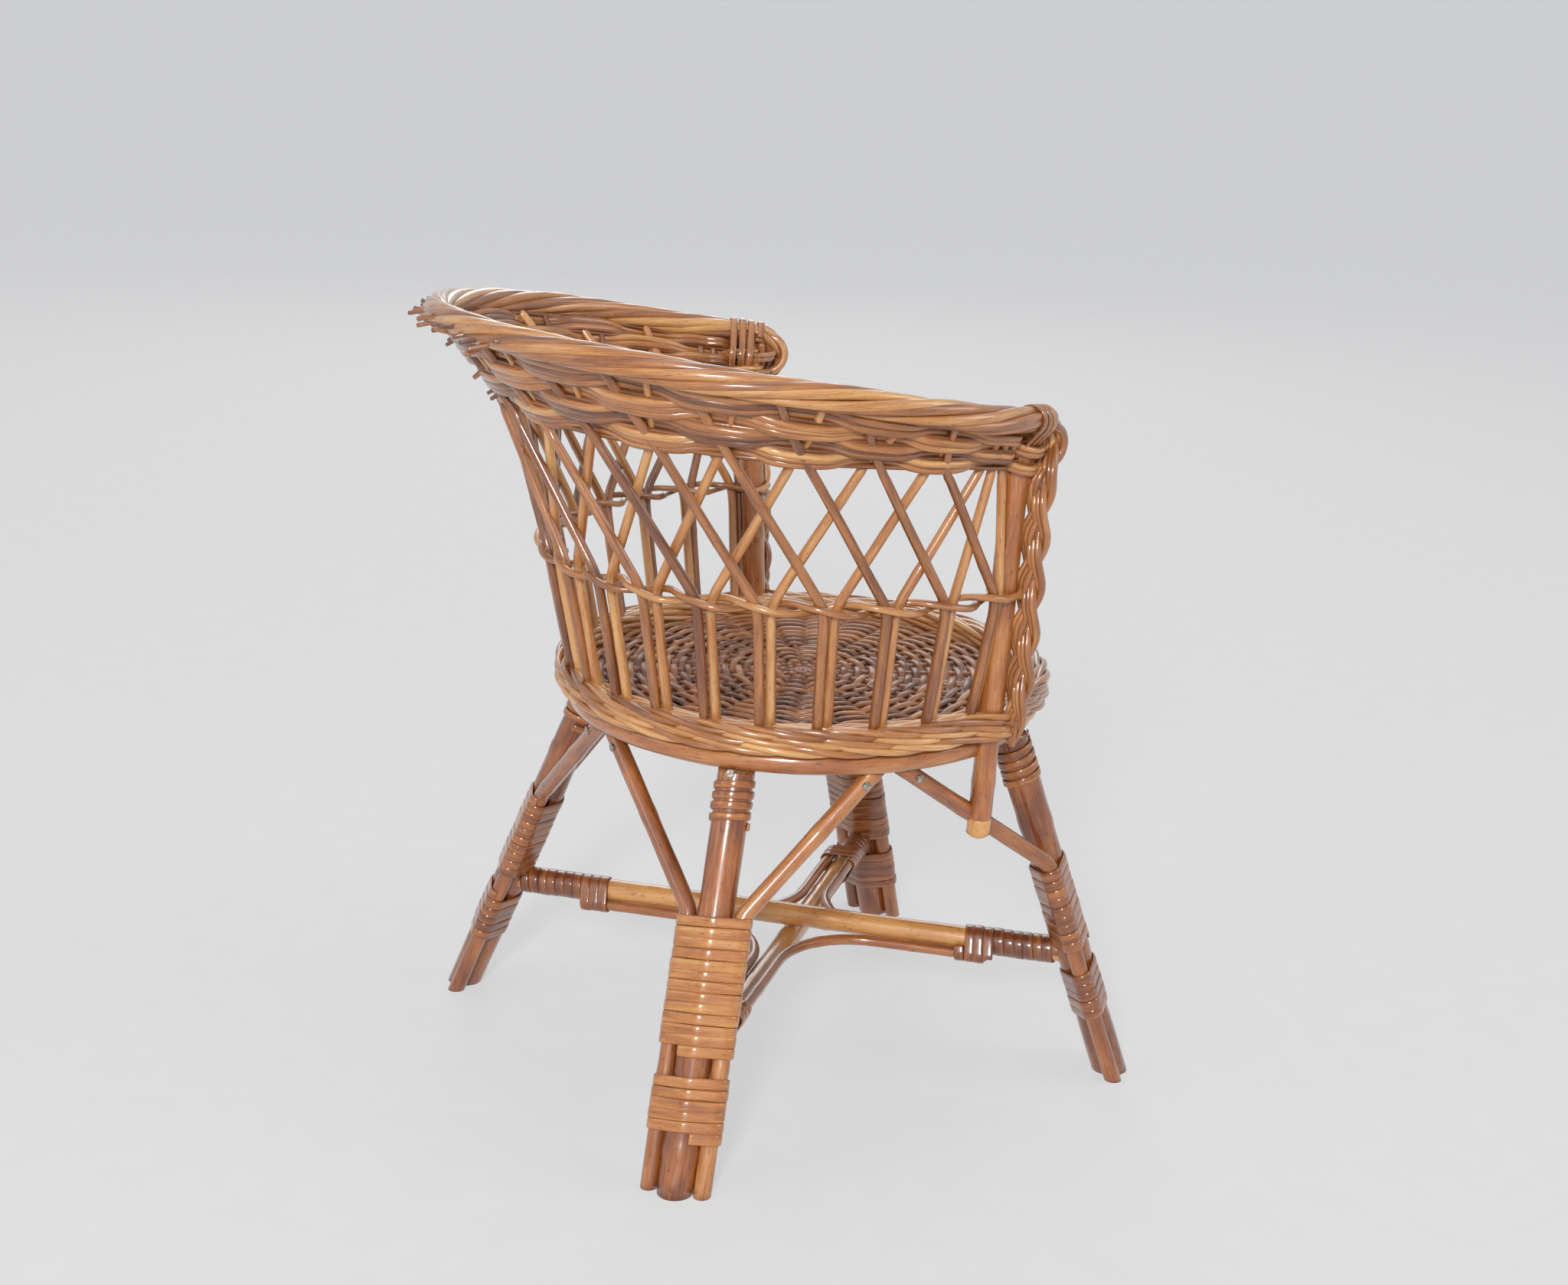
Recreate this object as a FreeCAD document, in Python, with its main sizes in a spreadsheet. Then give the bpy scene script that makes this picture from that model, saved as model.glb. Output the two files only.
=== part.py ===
import FreeCAD, Part
import math
import os

from FreeCAD import Placement, Rotation, Vector

# A child's wicker armchair: splayed stick legs with bent braces bound beside them, a crossed
# stretcher with curved ties, a round seat on a bent hoop, and a flared basket back with a lattice.
# Frame: +Z up, the sitter faces -Y, the sitter's left is +X, origin on the floor in the middle of the
# chair's box. The chair is laid out about the middle of the seat and moved to that origin at the end.

UP = Vector(0, 0, 1)
RIGHT_ANGLE = math.pi / 2
FULL_TURN = 2 * math.pi

DIMENSIONS = (
    ("clearance", 0.3, "gap left between pieces that touch"),
    ("hoop_radius", 125, "seat hoop, to the middle of the stick"),
    ("hoop_dia", 13, "seat hoop stick"),
    ("hoop_height", 208, "middle of the seat hoop above the floor"),
    ("leg_dia", 19, "leg stick"),
    ("leg_top_inset", 4, "leg axis at the hoop, inside the middle of the hoop stick"),
    ("leg_top_radius", "=hoop_radius - leg_top_inset", "leg axis at the hoop, from the middle of the seat"),
    ("leg_top_angle_rear", 44, "rear leg tops, degrees from straight back"),
    ("leg_top_angle_front", 130, "front leg tops, degrees from straight back"),
    ("foot_x_rear", 140.5, "rear feet from the middle"),
    ("foot_y_rear", 146.7, "rear feet behind the middle"),
    ("foot_x_front", 127.5, "front feet from the middle"),
    ("foot_y_front", 139.4, "front feet before the middle"),
    ("brace_dia", 9.2, "brace stick"),
    ("brace_join", 65, "where a brace reaches its leg, measured down the leg"),
    ("brace_bend", 25, "bend radius of a brace"),
    ("brace_top_inset", 4, "brace tops inside the middle of the hoop stick"),
    ("brace_top_radius", "=hoop_radius - brace_top_inset", "brace tops, from the middle of the seat"),
    ("brace_spread", 7.9, "brace tops on each side of their nailed point"),
    ("brace_side_angle", 82, "nailed point at the side, degrees from straight back"),
    ("binding_wire", 3.2, "thickness of the binding cane"),
    ("binding_pitch", 5.5, "binding cane from turn to turn"),
    ("binding_lead", 13, "start of the upper binding below the brace joint"),
    ("top_binding_lead", 9, "start of the top binding below the hoop"),
    ("top_binding_turns", 4, "turns of each top binding"),
    ("foot_binding_turns", 5, "turns of each foot binding"),
    ("stretcher_dia", 13, "crossed stretcher sticks"),
    ("stretcher_height", 64.5, "crossing of the stretchers above the floor"),
    ("stretcher_binding_turns", 10, "turns of cane on each stretcher arm"),
    ("tie_dia", 6, "curved ties between the stretcher arms"),
    ("tie_reach", 70, "outer end of a tie, from the crossing"),
    ("tie_bend", 46, "bend radius of a tie"),
    ("border_outset", 14.3, "woven seat border beyond the middle of the hoop stick"),
    ("border_inset", 4, "woven seat border inside the middle of the hoop stick"),
    ("border_outer", "=hoop_radius + border_outset", "outer radius of the woven seat border"),
    ("border_inner", "=hoop_radius - border_inset", "inner radius of the woven seat border"),
    ("border_thick", 14, "height of the woven seat border"),
    ("border_round", 5, "rounding of the woven seat border"),
    ("seat_thick", 7, "thickness of the woven seat"),
    ("seat_row", 8.2, "woven rows of the seat, from ridge to ridge"),
    ("seat_relief", 2.2, "depth of the grooves between those rows"),
    ("stake_dia", 5.4, "stakes of the basket wall"),
    ("stake_pairs", 17, "pairs of stakes between the posts"),
    ("stake_step", 12.8, "degrees from one pair to the next"),
    ("stake_spare", 1.1, "room between the two layers of leaning stakes, each way"),
    ("stake_bend", 30, "bend radius of a stake at the waist"),
    ("stake_foot_outset", 5, "wall on the seat border, beyond the middle of the hoop stick"),
    ("stake_foot_radius", "=hoop_radius + stake_foot_outset", "wall radius on the seat border"),
    ("lattice_lean", 18, "degrees that a stake leans across the lattice"),
    ("waist_height", 294, "middle of the waist strands above the floor"),
    ("waist_outset", 18, "wall at the waist, beyond the middle of the hoop stick"),
    ("waist_radius", "=hoop_radius + waist_outset", "wall radius at the waist"),
    ("waist_strand", 4.6, "thickness of a waist strand"),
    ("band_height", 365, "lower edge of the woven band at the sides"),
    ("band_rise", 10, "extra height of that edge at the rear"),
    ("band_drop", 19, "fall of that edge towards the front"),
    ("band_outset", 7, "wall at that edge at the sides, beyond the waist"),
    ("band_radius", "=waist_radius + band_outset", "wall radius at that edge at the sides"),
    ("band_flare", 17, "extra wall radius of that edge at the rear"),
    ("band_thick", 10, "thickness of the woven band"),
    ("band_rows", 4, "woven rows of the band"),
    ("band_relief", 2.2, "rows of the band in front of or behind its middle"),
    ("band_row_edge", 0.3, "half the height of the step between two rows"),
    ("rim_height", 392, "middle of the rolled rim at the sides"),
    ("rim_rise", 31, "extra height of the rim at the rear"),
    ("rim_drop", 20, "fall of the rim towards the front"),
    ("rim_outset", 16, "rolled rim at the sides, beyond the lower edge of the band"),
    ("rim_radius", "=band_radius + rim_outset", "rolled rim at the sides, from the middle"),
    ("rim_flare", 39, "extra radius of the rim at the rear"),
    ("rim_dia", 15, "rolled rim"),
    ("rim_angle", 112, "end of the rim, degrees from straight back"),
    ("post_dia", 16, "front posts above the seat"),
    ("post_stub_dia", 13.5, "front posts where they pass the seat and the hoop"),
    ("post_outset", 15.5, "posts at the hoop, beyond the middle of the hoop stick"),
    ("post_foot_y", 49.5, "posts at the hoop, before the middle"),
    ("post_foot_x", "=sqrt((hoop_radius + post_outset) ^ 2 - post_foot_y ^ 2)", "posts from the middle"),
    ("post_lean_out", 8, "post tops further out than at the hoop"),
    ("post_lean_back", 6.5, "post tops further back than at the hoop"),
    ("post_head_x", "=post_foot_x + post_lean_out", "post tops, from the middle"),
    ("post_head_y", "=post_foot_y - post_lean_back", "post tops, before the middle"),
    ("post_stub", 44, "post below the hoop"),
    ("braid_dia", 12, "braids down the fronts of the posts"),
    ("nail_dia", 4.4, "nail heads"),
    ("nail_thick", 1, "thickness of a nail head"),
)

os.makedirs("parts", exist_ok=True)
doc = FreeCAD.newDocument("ChildWickerArmchair")
sheet = doc.addObject("Spreadsheet::Sheet", "Sizes")
for row, (alias, value, note) in enumerate(DIMENSIONS, start=1):
    sheet.set("A%d" % row, note)
    sheet.set("B%d" % row, str(value))
    sheet.setAlias("B%d" % row, alias)
doc.recompute()

pieces = []


def size(alias):
    """The number kept in the sheet under this name."""
    return float(sheet.get(alias))


def keep(obj, label):
    """Name a finished sub-part and put it on the list of pieces."""
    obj.Label = label
    pieces.append(obj)
    return obj


def keep_shape(label, shape):
    """A finished sub-part whose shape is worked out here."""
    obj = doc.addObject("Part::Feature", label)
    obj.Shape = shape
    obj.Placement = Placement()
    return keep(obj, label)


def ring_point(radius, degrees, height):
    """A point at an angle from straight back, towards the sitter's left."""
    angle = math.radians(degrees)
    return Vector(radius * math.sin(angle), radius * math.cos(angle), height)


def unit(vector):
    return Vector(vector).normalize()


def rounded_path(points, bend):
    """A wire of straight runs through the points, each corner rounded to the bend radius."""
    edges = []
    start = points[0]
    for before, corner, after in zip(points, points[1:], points[2:]):
        arrive = unit(corner - before)
        leave = unit(after - corner)
        turn = arrive.getAngle(leave)
        reach = bend * math.tan(turn / 2)
        first = corner - arrive * reach
        last = corner + leave * reach
        inward = unit(leave - arrive)
        middle = corner + inward * bend * (1 / math.cos(turn / 2) - 1)
        edges.append(Part.LineSegment(start, first).toShape())
        edges.append(Part.Arc(first, middle, last).toShape())
        start = last
    edges.append(Part.LineSegment(start, points[-1]).toShape())
    return Part.Wire(edges)


def tube(path, diameter):
    """A round stick along a wire."""
    first = path.OrderedEdges[0]
    start = first.valueAt(first.FirstParameter)
    heading = first.tangentAt(first.FirstParameter)
    profile = Part.Wire(Part.makeCircle(diameter / 2, start, heading))
    return path.makePipeShell([profile], True, False)


def straight(label, start, end, diameter_alias):
    """A round straight stick as a cylinder bound to its diameter."""
    axis = end - start
    obj = doc.addObject("Part::Cylinder", label)
    obj.setExpression("Radius", "Sizes.%s / 2" % diameter_alias)
    obj.Height = axis.Length
    obj.Placement = Placement(start, Rotation(UP, axis))
    return obj


def tangent_arc(start, heading, end):
    """The arc that leaves a point along a heading and reaches another point."""
    chord = end - start
    along = unit(chord)
    side = heading - along * heading.dot(along)
    lift = chord.Length / 2 * math.tan(unit(heading).getAngle(along) / 2)
    return Part.Arc(start, start + chord / 2 + unit(side) * lift, end).toShape()


def biarc(start, start_heading, end, end_heading):
    """Two arcs between two points with given headings."""
    chord = end - start
    both = start_heading + end_heading
    spread = 2 * (1 - start_heading.dot(end_heading))
    across = chord.dot(both)
    reach = (math.sqrt(across ** 2 + spread * chord.dot(chord)) - across) / spread
    joint = (start + end + (start_heading - end_heading) * reach) / 2
    second_heading = unit(end - end_heading * reach - joint)
    return [tangent_arc(start, start_heading, joint), tangent_arc(joint, second_heading, end)]


def winding(label, origin, axis, across, half_wide, half_deep, turns):
    """One unbroken cane wound round an oval bundle, with straight ends."""
    wire = size("binding_wire")
    pitch = size("binding_pitch")
    deep = axis.cross(across)

    def point(angle):
        climb = axis * (pitch * angle / FULL_TURN)
        return origin + climb + across * (half_wide * math.cos(angle)) + deep * (half_deep * math.sin(angle))

    def heading(angle):
        climb = axis * (pitch / FULL_TURN)
        return unit(climb - across * (half_wide * math.sin(angle)) + deep * (half_deep * math.cos(angle)))

    quarters = [RIGHT_ANGLE * count for count in range(int(4 * turns) + 1)]
    first, last = quarters[0], quarters[-1]
    edges = [Part.LineSegment(point(first) - heading(first) * wire, point(first)).toShape()]
    for here, there in zip(quarters, quarters[1:]):
        edges.extend(biarc(point(here), heading(here), point(there), heading(there)))
    edges.append(Part.LineSegment(point(last), point(last) + heading(last) * wire).toShape())
    samples = [edge.valueAt((edge.FirstParameter + edge.LastParameter) / 2) for edge in edges]
    apart = [
        (one - other).Length
        for index, one in enumerate(samples)
        for other in samples[index + 5:]
    ]
    print("%s: %g turns, least gap to itself %.2f mm" % (label, turns, min(apart) - wire))
    return keep_shape(label, tube(Part.Wire(edges), wire))


gap = size("clearance")
hoop_under = size("hoop_height") - size("hoop_dia") / 2 - gap
hoop_over = size("hoop_height") + size("hoop_dia") / 2 + gap
border_top = hoop_over + size("border_thick")

# Room between the floor and the underside of the hoop, to which the leg sticks are cut.
leg_room = doc.addObject("Part::Box", "leg_room")
leg_room.setExpression("Length", "4 * Sizes.hoop_radius")
leg_room.setExpression("Width", "4 * Sizes.hoop_radius")
leg_room.setExpression("Height", "Sizes.hoop_height - Sizes.hoop_dia / 2 - Sizes.clearance")
leg_room.Placement = Placement(Vector(-2 * size("hoop_radius"), -2 * size("hoop_radius"), 0), Rotation())
doc.recompute()


class Leg:
    """One leg with its axis, its bundle of sticks and its place along the axis."""

    def __init__(self, name, side, top_angle, foot_x, foot_y, stretcher_level):
        self.name = name
        self.side = side
        self.top = ring_point(size("leg_top_radius"), side * top_angle, hoop_under)
        self.foot = Vector(side * foot_x, foot_y, 0)
        self.axis = unit(self.foot - self.top)
        self.length = (self.foot - self.top).Length
        outward = Vector(self.axis.x, self.axis.y, 0).normalize()
        self.across = UP.cross(outward)
        self.brace_offset = (size("leg_dia") + size("brace_dia")) / 2 + gap / 2
        self.stretcher_level = stretcher_level
        self.stretcher_at = (self.top.z - stretcher_level) / -self.axis.z

    def along(self, distance):
        return self.top + self.axis * distance

    def binding_sizes(self):
        spare = gap + size("binding_wire") / 2
        return self.brace_offset + size("brace_dia") / 2 + spare, size("leg_dia") / 2 + spare


def make_leg(leg):
    overrun = size("leg_dia")
    blank = straight("%s_blank" % leg.name, leg.along(-overrun), leg.along(leg.length + overrun), "leg_dia")
    cut = doc.addObject("Part::Common", leg.name)
    cut.Base = blank
    cut.Tool = leg_room
    keep(cut, leg.name)
    outward = unit(leg.axis.cross(leg.across))
    if outward.z < 0:
        outward = -outward
    seat = leg.along(size("nail_dia")) + outward * (size("leg_dia") / 2 + gap / 2)
    return Part.makeCylinder(size("nail_dia") / 2, size("nail_thick"), seat, outward)


def make_brace(leg, label, hoop_angle, hoop_side, leg_side):
    """A stick nailed under the hoop, bent where it meets the leg and carried down beside it."""
    nailed = ring_point(size("brace_top_radius"), hoop_angle, hoop_under)
    along_hoop = ring_point(1, hoop_angle + 90, 0)
    head = nailed + along_hoop * (hoop_side * size("brace_spread"))
    beside = leg.across * (leg_side * leg.brace_offset)
    corner = leg.along(size("brace_join")) + beside
    overrun = size("brace_dia")
    top = head + unit(head - corner) * overrun
    bottom = leg.along(leg.length + overrun) + beside
    stick = tube(rounded_path([top, corner, bottom], size("brace_bend")), size("brace_dia"))
    keep_shape(label, stick.common(leg_room.Shape))
    outward = ring_point(1, hoop_angle, 0)
    slope = unit(corner - head)
    square = unit(outward - slope * outward.dot(slope))
    seat = head + slope * size("brace_dia") + square * (size("brace_dia") / 2 + gap / 2)
    return Part.makeCylinder(size("nail_dia") / 2, size("nail_thick"), seat, square)


def make_leg_bindings(leg):
    half_wide, half_deep = leg.binding_sizes()
    winding("%s_top_binding" % leg.name, leg.along(size("top_binding_lead")), leg.axis, leg.across,
            half_deep, half_deep, size("top_binding_turns"))
    pitch = size("binding_pitch")
    start = size("brace_join") + size("binding_lead")
    room = size("stretcher_dia") / 2 / -leg.axis.z + size("binding_wire") / 2 + 2 * gap
    space = leg.stretcher_at - room - size("binding_wire") - start
    turns = math.floor(2 * space / pitch) / 2
    winding("%s_binding" % leg.name, leg.along(start), leg.axis, leg.across, half_wide, half_deep, turns)
    lower = leg.stretcher_at + room + size("binding_wire")
    winding("%s_foot_binding" % leg.name, leg.along(lower), leg.axis, leg.across, half_wide, half_deep,
            size("foot_binding_turns"))


def make_stretcher(label, leg, opposite):
    """A level stick between two opposite legs, its ends shaped to them."""
    start = leg.along(leg.stretcher_at)
    end = opposite.along(opposite.stretcher_at)
    stick = Part.makeCylinder(size("stretcher_dia") / 2, (end - start).Length, start, end - start)
    for post in (leg, opposite):
        stick = stick.cut(Part.makeCylinder(size("leg_dia") / 2 + gap, post.length, post.top, post.axis))
    keep_shape(label, stick)


def make_stretcher_binding(leg, opposite):
    """Cane round the outer part of a stretcher arm, from close to the leg inwards."""
    end = leg.along(leg.stretcher_at)
    inward = unit(opposite.along(opposite.stretcher_at) - end)
    level = Vector(inward.x, inward.y, 0).normalize()
    half = size("stretcher_dia") / 2 + gap + size("binding_wire") / 2
    tilt = abs(leg.axis.x * level.x + leg.axis.y * level.y) / -leg.axis.z
    clear_of_leg = size("leg_dia") / 2 * math.hypot(1, tilt) + half * tilt
    start = clear_of_leg + size("binding_wire") + size("binding_pitch")
    winding("%s_arm_binding" % leg.name, end + inward * start, inward, UP.cross(level), half, half,
            size("stretcher_binding_turns"))


def level_heading(crossing, leg):
    """The level direction from the crossing to a leg's stretcher joint."""
    joint = leg.along(leg.stretcher_at)
    return unit(Vector(joint.x - crossing.x, joint.y - crossing.y, 0))


def make_tie(label, leg, neighbour, crossing):
    """A thin stick bent from one stretcher arm round to the next."""
    reach = (size("stretcher_dia") + size("tie_dia")) / 2 + 1.5 * gap
    drop = (size("stretcher_dia") + gap) / 2
    beside = math.sqrt(reach ** 2 - drop ** 2)
    one = level_heading(crossing, leg)
    two = level_heading(crossing, neighbour)
    opening = one.getAngle(two)
    corner = crossing + unit(one + two) * (beside / math.sin(opening / 2))
    arm = size("tie_reach")
    path = rounded_path([corner + one * arm, corner, corner + two * arm], size("tie_bend"))
    keep_shape(label, tube(path, size("tie_dia")))


def plan_crossing(one, two):
    """Where two level sticks pass over each other, at the height between them."""
    first = one[1] - one[0]
    second = two[1] - two[0]
    between = two[0] - one[0]
    share = (between.x * second.y - between.y * second.x) / (first.x * second.y - first.y * second.x)
    point = one[0] + first * share
    return Vector(point.x, point.y, size("stretcher_height"))


def make_leg_frame():
    lift = (size("stretcher_dia") + gap) / 2
    upper = size("stretcher_height") + lift
    lower = size("stretcher_height") - lift
    rear = (size("leg_top_angle_rear"), size("foot_x_rear"), size("foot_y_rear"))
    front = (size("leg_top_angle_front"), size("foot_x_front"), -size("foot_y_front"))
    legs = {
        "rear_right": Leg("leg_rear_right", -1, *rear, lower),
        "rear_left": Leg("leg_rear_left", 1, *rear, upper),
        "front_right": Leg("leg_front_right", -1, *front, upper),
        "front_left": Leg("leg_front_left", 1, *front, lower),
    }
    side_angle = size("brace_side_angle")
    heads = []
    for place, leg in legs.items():
        heads.append(make_leg(leg))
        end_angle = 0 if place.startswith("rear") else 180
        turn = 1 if place in ("rear_right", "front_left") else -1
        heads.append(make_brace(leg, "brace_%s_end" % place, end_angle, -turn, -turn))
        heads.append(make_brace(leg, "brace_%s_side" % place, leg.side * side_angle, turn, turn))
        make_leg_bindings(leg)
    pairs = (("rear_right", "front_left"), ("rear_left", "front_right"))
    for count, (one, two) in enumerate(pairs, start=1):
        make_stretcher("stretcher_%d" % count, legs[one], legs[two])
        make_stretcher_binding(legs[one], legs[two])
        make_stretcher_binding(legs[two], legs[one])
    joints = {place: leg.along(leg.stretcher_at) for place, leg in legs.items()}
    crossing = plan_crossing(*[[joints[place] for place in pair] for pair in pairs])
    around = ("rear_right", "rear_left", "front_left", "front_right")
    for one, two in zip(around, around[1:] + around[:1]):
        make_tie("tie_%s_%s" % (one, two), legs[one], legs[two], crossing)
    keep_shape("brace_nails", Part.makeCompound(heads))


def post_ends(side):
    foot = Vector(side * size("post_foot_x"), -size("post_foot_y"), size("hoop_height"))
    under_rim = rim_point(size("rim_angle")).z - size("rim_dia") / 2 - gap
    head = Vector(side * size("post_head_x"), -size("post_head_y"), under_rim)
    return foot, head


def post_room(side):
    """The space that a post and its clearance take up."""
    foot, head = post_ends(side)
    axis = unit(head - foot)
    start = foot - axis * (size("post_stub") + size("post_dia"))
    return Part.makeCylinder(size("post_dia") / 2 + gap, 2 * (head - foot).Length, start, axis)


def edge_height(name, bow):
    """Height of the rim or the band's edge, which rises to the rear and falls to the front."""
    slope = size(name + "_rise") if bow > 0 else size(name + "_drop")
    return size(name + "_height") + slope * bow


def rim_point(degrees):
    bow = math.cos(math.radians(degrees))
    return ring_point(size("rim_radius") + size("rim_flare") * bow, degrees, edge_height("rim", bow))


def band_point(degrees, outward=0):
    bow = math.cos(math.radians(degrees))
    radius = size("band_radius") + size("band_flare") * bow + outward
    return ring_point(radius, degrees, edge_height("band", bow))


def woven_seat():
    """A round seat whose rows stand up as rings."""
    edge = size("border_inner") - gap
    top = hoop_over + size("seat_thick")
    groove = top - size("seat_relief")
    row = size("seat_row")
    rows = int(edge / row)
    outline = [Vector(edge, 0, hoop_over), Vector(edge, 0, groove)]
    sides = [Part.LineSegment(Vector(0, 0, hoop_over), outline[0]), Part.LineSegment(*outline)]
    for index in range(rows):
        outer = edge - row * index
        ridge = Vector(outer - row / 2, 0, top)
        sides.append(Part.Arc(Vector(outer, 0, groove), ridge, Vector(outer - row, 0, groove)))
    last = Vector(edge - row * rows, 0, groove)
    sides.append(Part.LineSegment(last, Vector(0, 0, groove)))
    sides.append(Part.LineSegment(Vector(0, 0, groove), Vector(0, 0, hoop_over)))
    profile = Part.Face(Part.Wire([side.toShape() for side in sides]))
    return profile.revolve(Vector(), UP, 360)


def make_seat():
    hoop = Part.makeTorus(size("hoop_radius"), size("hoop_dia") / 2, Vector(0, 0, size("hoop_height")), UP)
    border = Part.makeCylinder(size("border_outer"), size("border_thick"), Vector(0, 0, hoop_over))
    border = border.cut(Part.makeCylinder(size("border_inner"), size("border_thick"), Vector(0, 0, hoop_over)))
    round_edges = [edge for edge in border.Edges if isinstance(edge.Curve, Part.Circle)]
    border = border.makeFillet(size("border_round"), round_edges)
    for side in (-1, 1):
        hoop = hoop.cut(post_room(side))
        border = border.cut(post_room(side))
    keep_shape("seat_hoop", hoop)
    keep_shape("seat_border", border)
    keep_shape("seat_panel", woven_seat())


def make_posts():
    braid_offset = (size("post_dia") + size("braid_dia")) / 2 + gap
    for side, name in ((-1, "right"), (1, "left")):
        foot, head = post_ends(side)
        axis = unit(head - foot)
        shoulder = foot + axis * ((border_top - foot.z) / axis.z)
        shank = straight("post_%s_shank" % name, shoulder, head, "post_dia")
        taper = doc.addObject("Part::Cone", "post_%s_taper" % name)
        taper.setExpression("Radius1", "Sizes.post_stub_dia / 2")
        taper.setExpression("Radius2", "Sizes.post_dia / 2")
        taper.setExpression("Height", "Sizes.border_thick / 2")
        taper.Placement = Placement(shoulder - axis * (size("border_thick") / 2), Rotation(UP, axis))
        stub_end = foot - axis * size("post_stub")
        stub = straight("post_%s_stub" % name, stub_end, taper.Placement.Base, "post_stub_dia")
        post = doc.addObject("Part::MultiFuse", "post_%s" % name)
        post.Shapes = [stub, taper, shank]
        post.Refine = True
        keep(post, "post_%s" % name)
        forward = unit(Vector(0, -1, 0) - axis * -axis.y)
        rise = (border_top + gap + size("braid_dia") / 2 - foot.z) / axis.z
        start = foot + axis * rise + forward * braid_offset
        end = head - axis * (size("braid_dia") / 4) + forward * braid_offset
        keep(straight("braid_%s" % name, start, end, "braid_dia"), "braid_%s" % name)


def make_stakes():
    """Pairs of stakes: upright from the seat to the waist, then leaning past each other."""
    count = int(size("stake_pairs"))
    layer = size("stake_dia") / 2 + size("stake_spare")
    side_by_side = (size("stake_dia") + gap) / 2
    widest = size("stake_step") * (count - 1) / 2
    post_angle = math.degrees(math.atan2(size("post_head_x"), -size("post_head_y")))
    room = size("post_dia") / 2 + size("stake_dia") + gap
    farthest = post_angle - math.degrees(room / size("band_radius"))
    beside_post = math.degrees(1.3 * size("stake_dia") / size("band_radius"))
    for name, lean in (("outer", 1), ("inner", -1)):
        solids = []
        for index in range(count):
            angle = size("stake_step") * index - widest
            apart = math.degrees(lean * side_by_side / size("waist_radius"))
            from_post = index if lean < 0 else count - 1 - index
            reach = min(farthest - from_post * beside_post, lean * angle + size("lattice_lean"))
            head_angle = lean * reach
            foot_radius = size("stake_foot_radius") + lean * side_by_side / 2
            foot = ring_point(foot_radius, angle + apart, border_top + gap)
            waist = ring_point(size("waist_radius") + lean * layer, angle + apart, size("waist_height"))
            head = band_point(head_angle, lean * layer)
            head = head - unit(head - waist) * (size("stake_dia") + gap)
            slope = unit(waist - foot)
            foot.z += size("stake_dia") / 2 * math.hypot(slope.x, slope.y)
            solids.append(tube(rounded_path([foot, waist, head], size("stake_bend")), size("stake_dia")))
        keep_shape("stakes_%s" % name, Part.makeCompound(solids))


def make_waist():
    """The two strands that hold the stakes at the waist, inside and outside the wall."""
    reach = size("stake_dia") + size("stake_spare") + size("waist_strand") / 2 + 1.5 * gap
    half_angle = size("stake_step") * (size("stake_pairs") - 1) / 2
    for name, sign in (("outer", 1), ("inner", -1)):
        radius = size("waist_radius") + sign * reach
        ends = [ring_point(radius, angle, size("waist_height")) for angle in (-half_angle, 0, half_angle)]
        path = Part.Wire([Part.Arc(*ends).toShape()])
        keep_shape("waist_%s" % name, tube(path, size("waist_strand")))


def band_angles():
    """Angles at each pair of stakes and midway between, where the band and the rim have a section."""
    last = size("stake_step") * (size("stake_pairs") - 1) / 2
    return [size("stake_step") * index / 2 - last for index in range(2 * int(size("stake_pairs")) - 1)]


def band_section(index, angle):
    """The band cut at an angle: its rows pass in front of and behind every other pair of stakes."""
    low = band_point(angle)
    rim = rim_point(angle)
    slope = unit(rim - low)
    height = (rim - low).Length - size("rim_dia") / 2 - gap
    square = unit(ring_point(1, angle + 90, 0).cross(slope))
    rows = int(size("band_rows"))
    step = height / rows
    half = size("band_thick") / 2 - size("band_relief")
    front, rear = [], []
    for row in range(rows):
        swing = size("band_relief") * round(math.sin(RIGHT_ANGLE * index + math.pi * row))
        bottom = step * row + (size("band_row_edge") if row else 0)
        top = step * (row + 1) - (size("band_row_edge") if row < rows - 1 else 0)
        for up in (bottom, top):
            front.append(low + slope * up + square * (swing + half))
            rear.append(low + slope * up + square * (swing - half))
    corners = front + rear[::-1]
    return Part.makePolygon(corners + corners[:1])


def make_band():
    """The woven band above the lattice, from its lower edge out to the rolled rim."""
    sections = [band_section(index, angle) for index, angle in enumerate(band_angles())]
    band = Part.makeLoft(sections, True, True)
    for side in (-1, 1):
        band = band.cut(post_room(side))
    keep_shape("woven_band", band)


def make_rim():
    """The rolled rim along the top of the band, from arm to arm."""
    circles = []
    for angle in [-size("rim_angle")] + band_angles() + [size("rim_angle")]:
        heading = rim_point(angle + 1) - rim_point(angle - 1)
        circles.append(Part.Wire(Part.makeCircle(size("rim_dia") / 2, rim_point(angle), heading)))
    keep_shape("rolled_rim", Part.makeLoft(circles, True, True))


make_leg_frame()
make_seat()
make_posts()
make_stakes()
make_waist()
make_band()
make_rim()
doc.recompute()

box = FreeCAD.BoundBox()
for obj in pieces:
    box.add(obj.Shape.optimalBoundingBox(False, False))
to_origin = Placement(Vector(-box.Center.x, -box.Center.y, 0), Rotation())
print("seat middle at", to_origin.Base)
for obj in pieces:
    obj.Placement = to_origin.multiply(obj.Placement)
doc.recompute()

faults = [obj.Label for obj in doc.Objects if "Invalid" in obj.State or "Error" in obj.State]
faults += [obj.Label for obj in pieces if obj.Shape.isNull() or not obj.Shape.isValid()]
if faults:
    raise RuntimeError("not built: %s" % ", ".join(faults))
for obj in pieces:
    obj.Shape.exportStep(os.path.join("parts", obj.Label + ".step"))
    print(obj.Label, len(obj.Shape.Solids), round(obj.Shape.Volume))
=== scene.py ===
import math

import bpy
import numpy as np
from mathutils import Matrix, Vector


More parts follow.
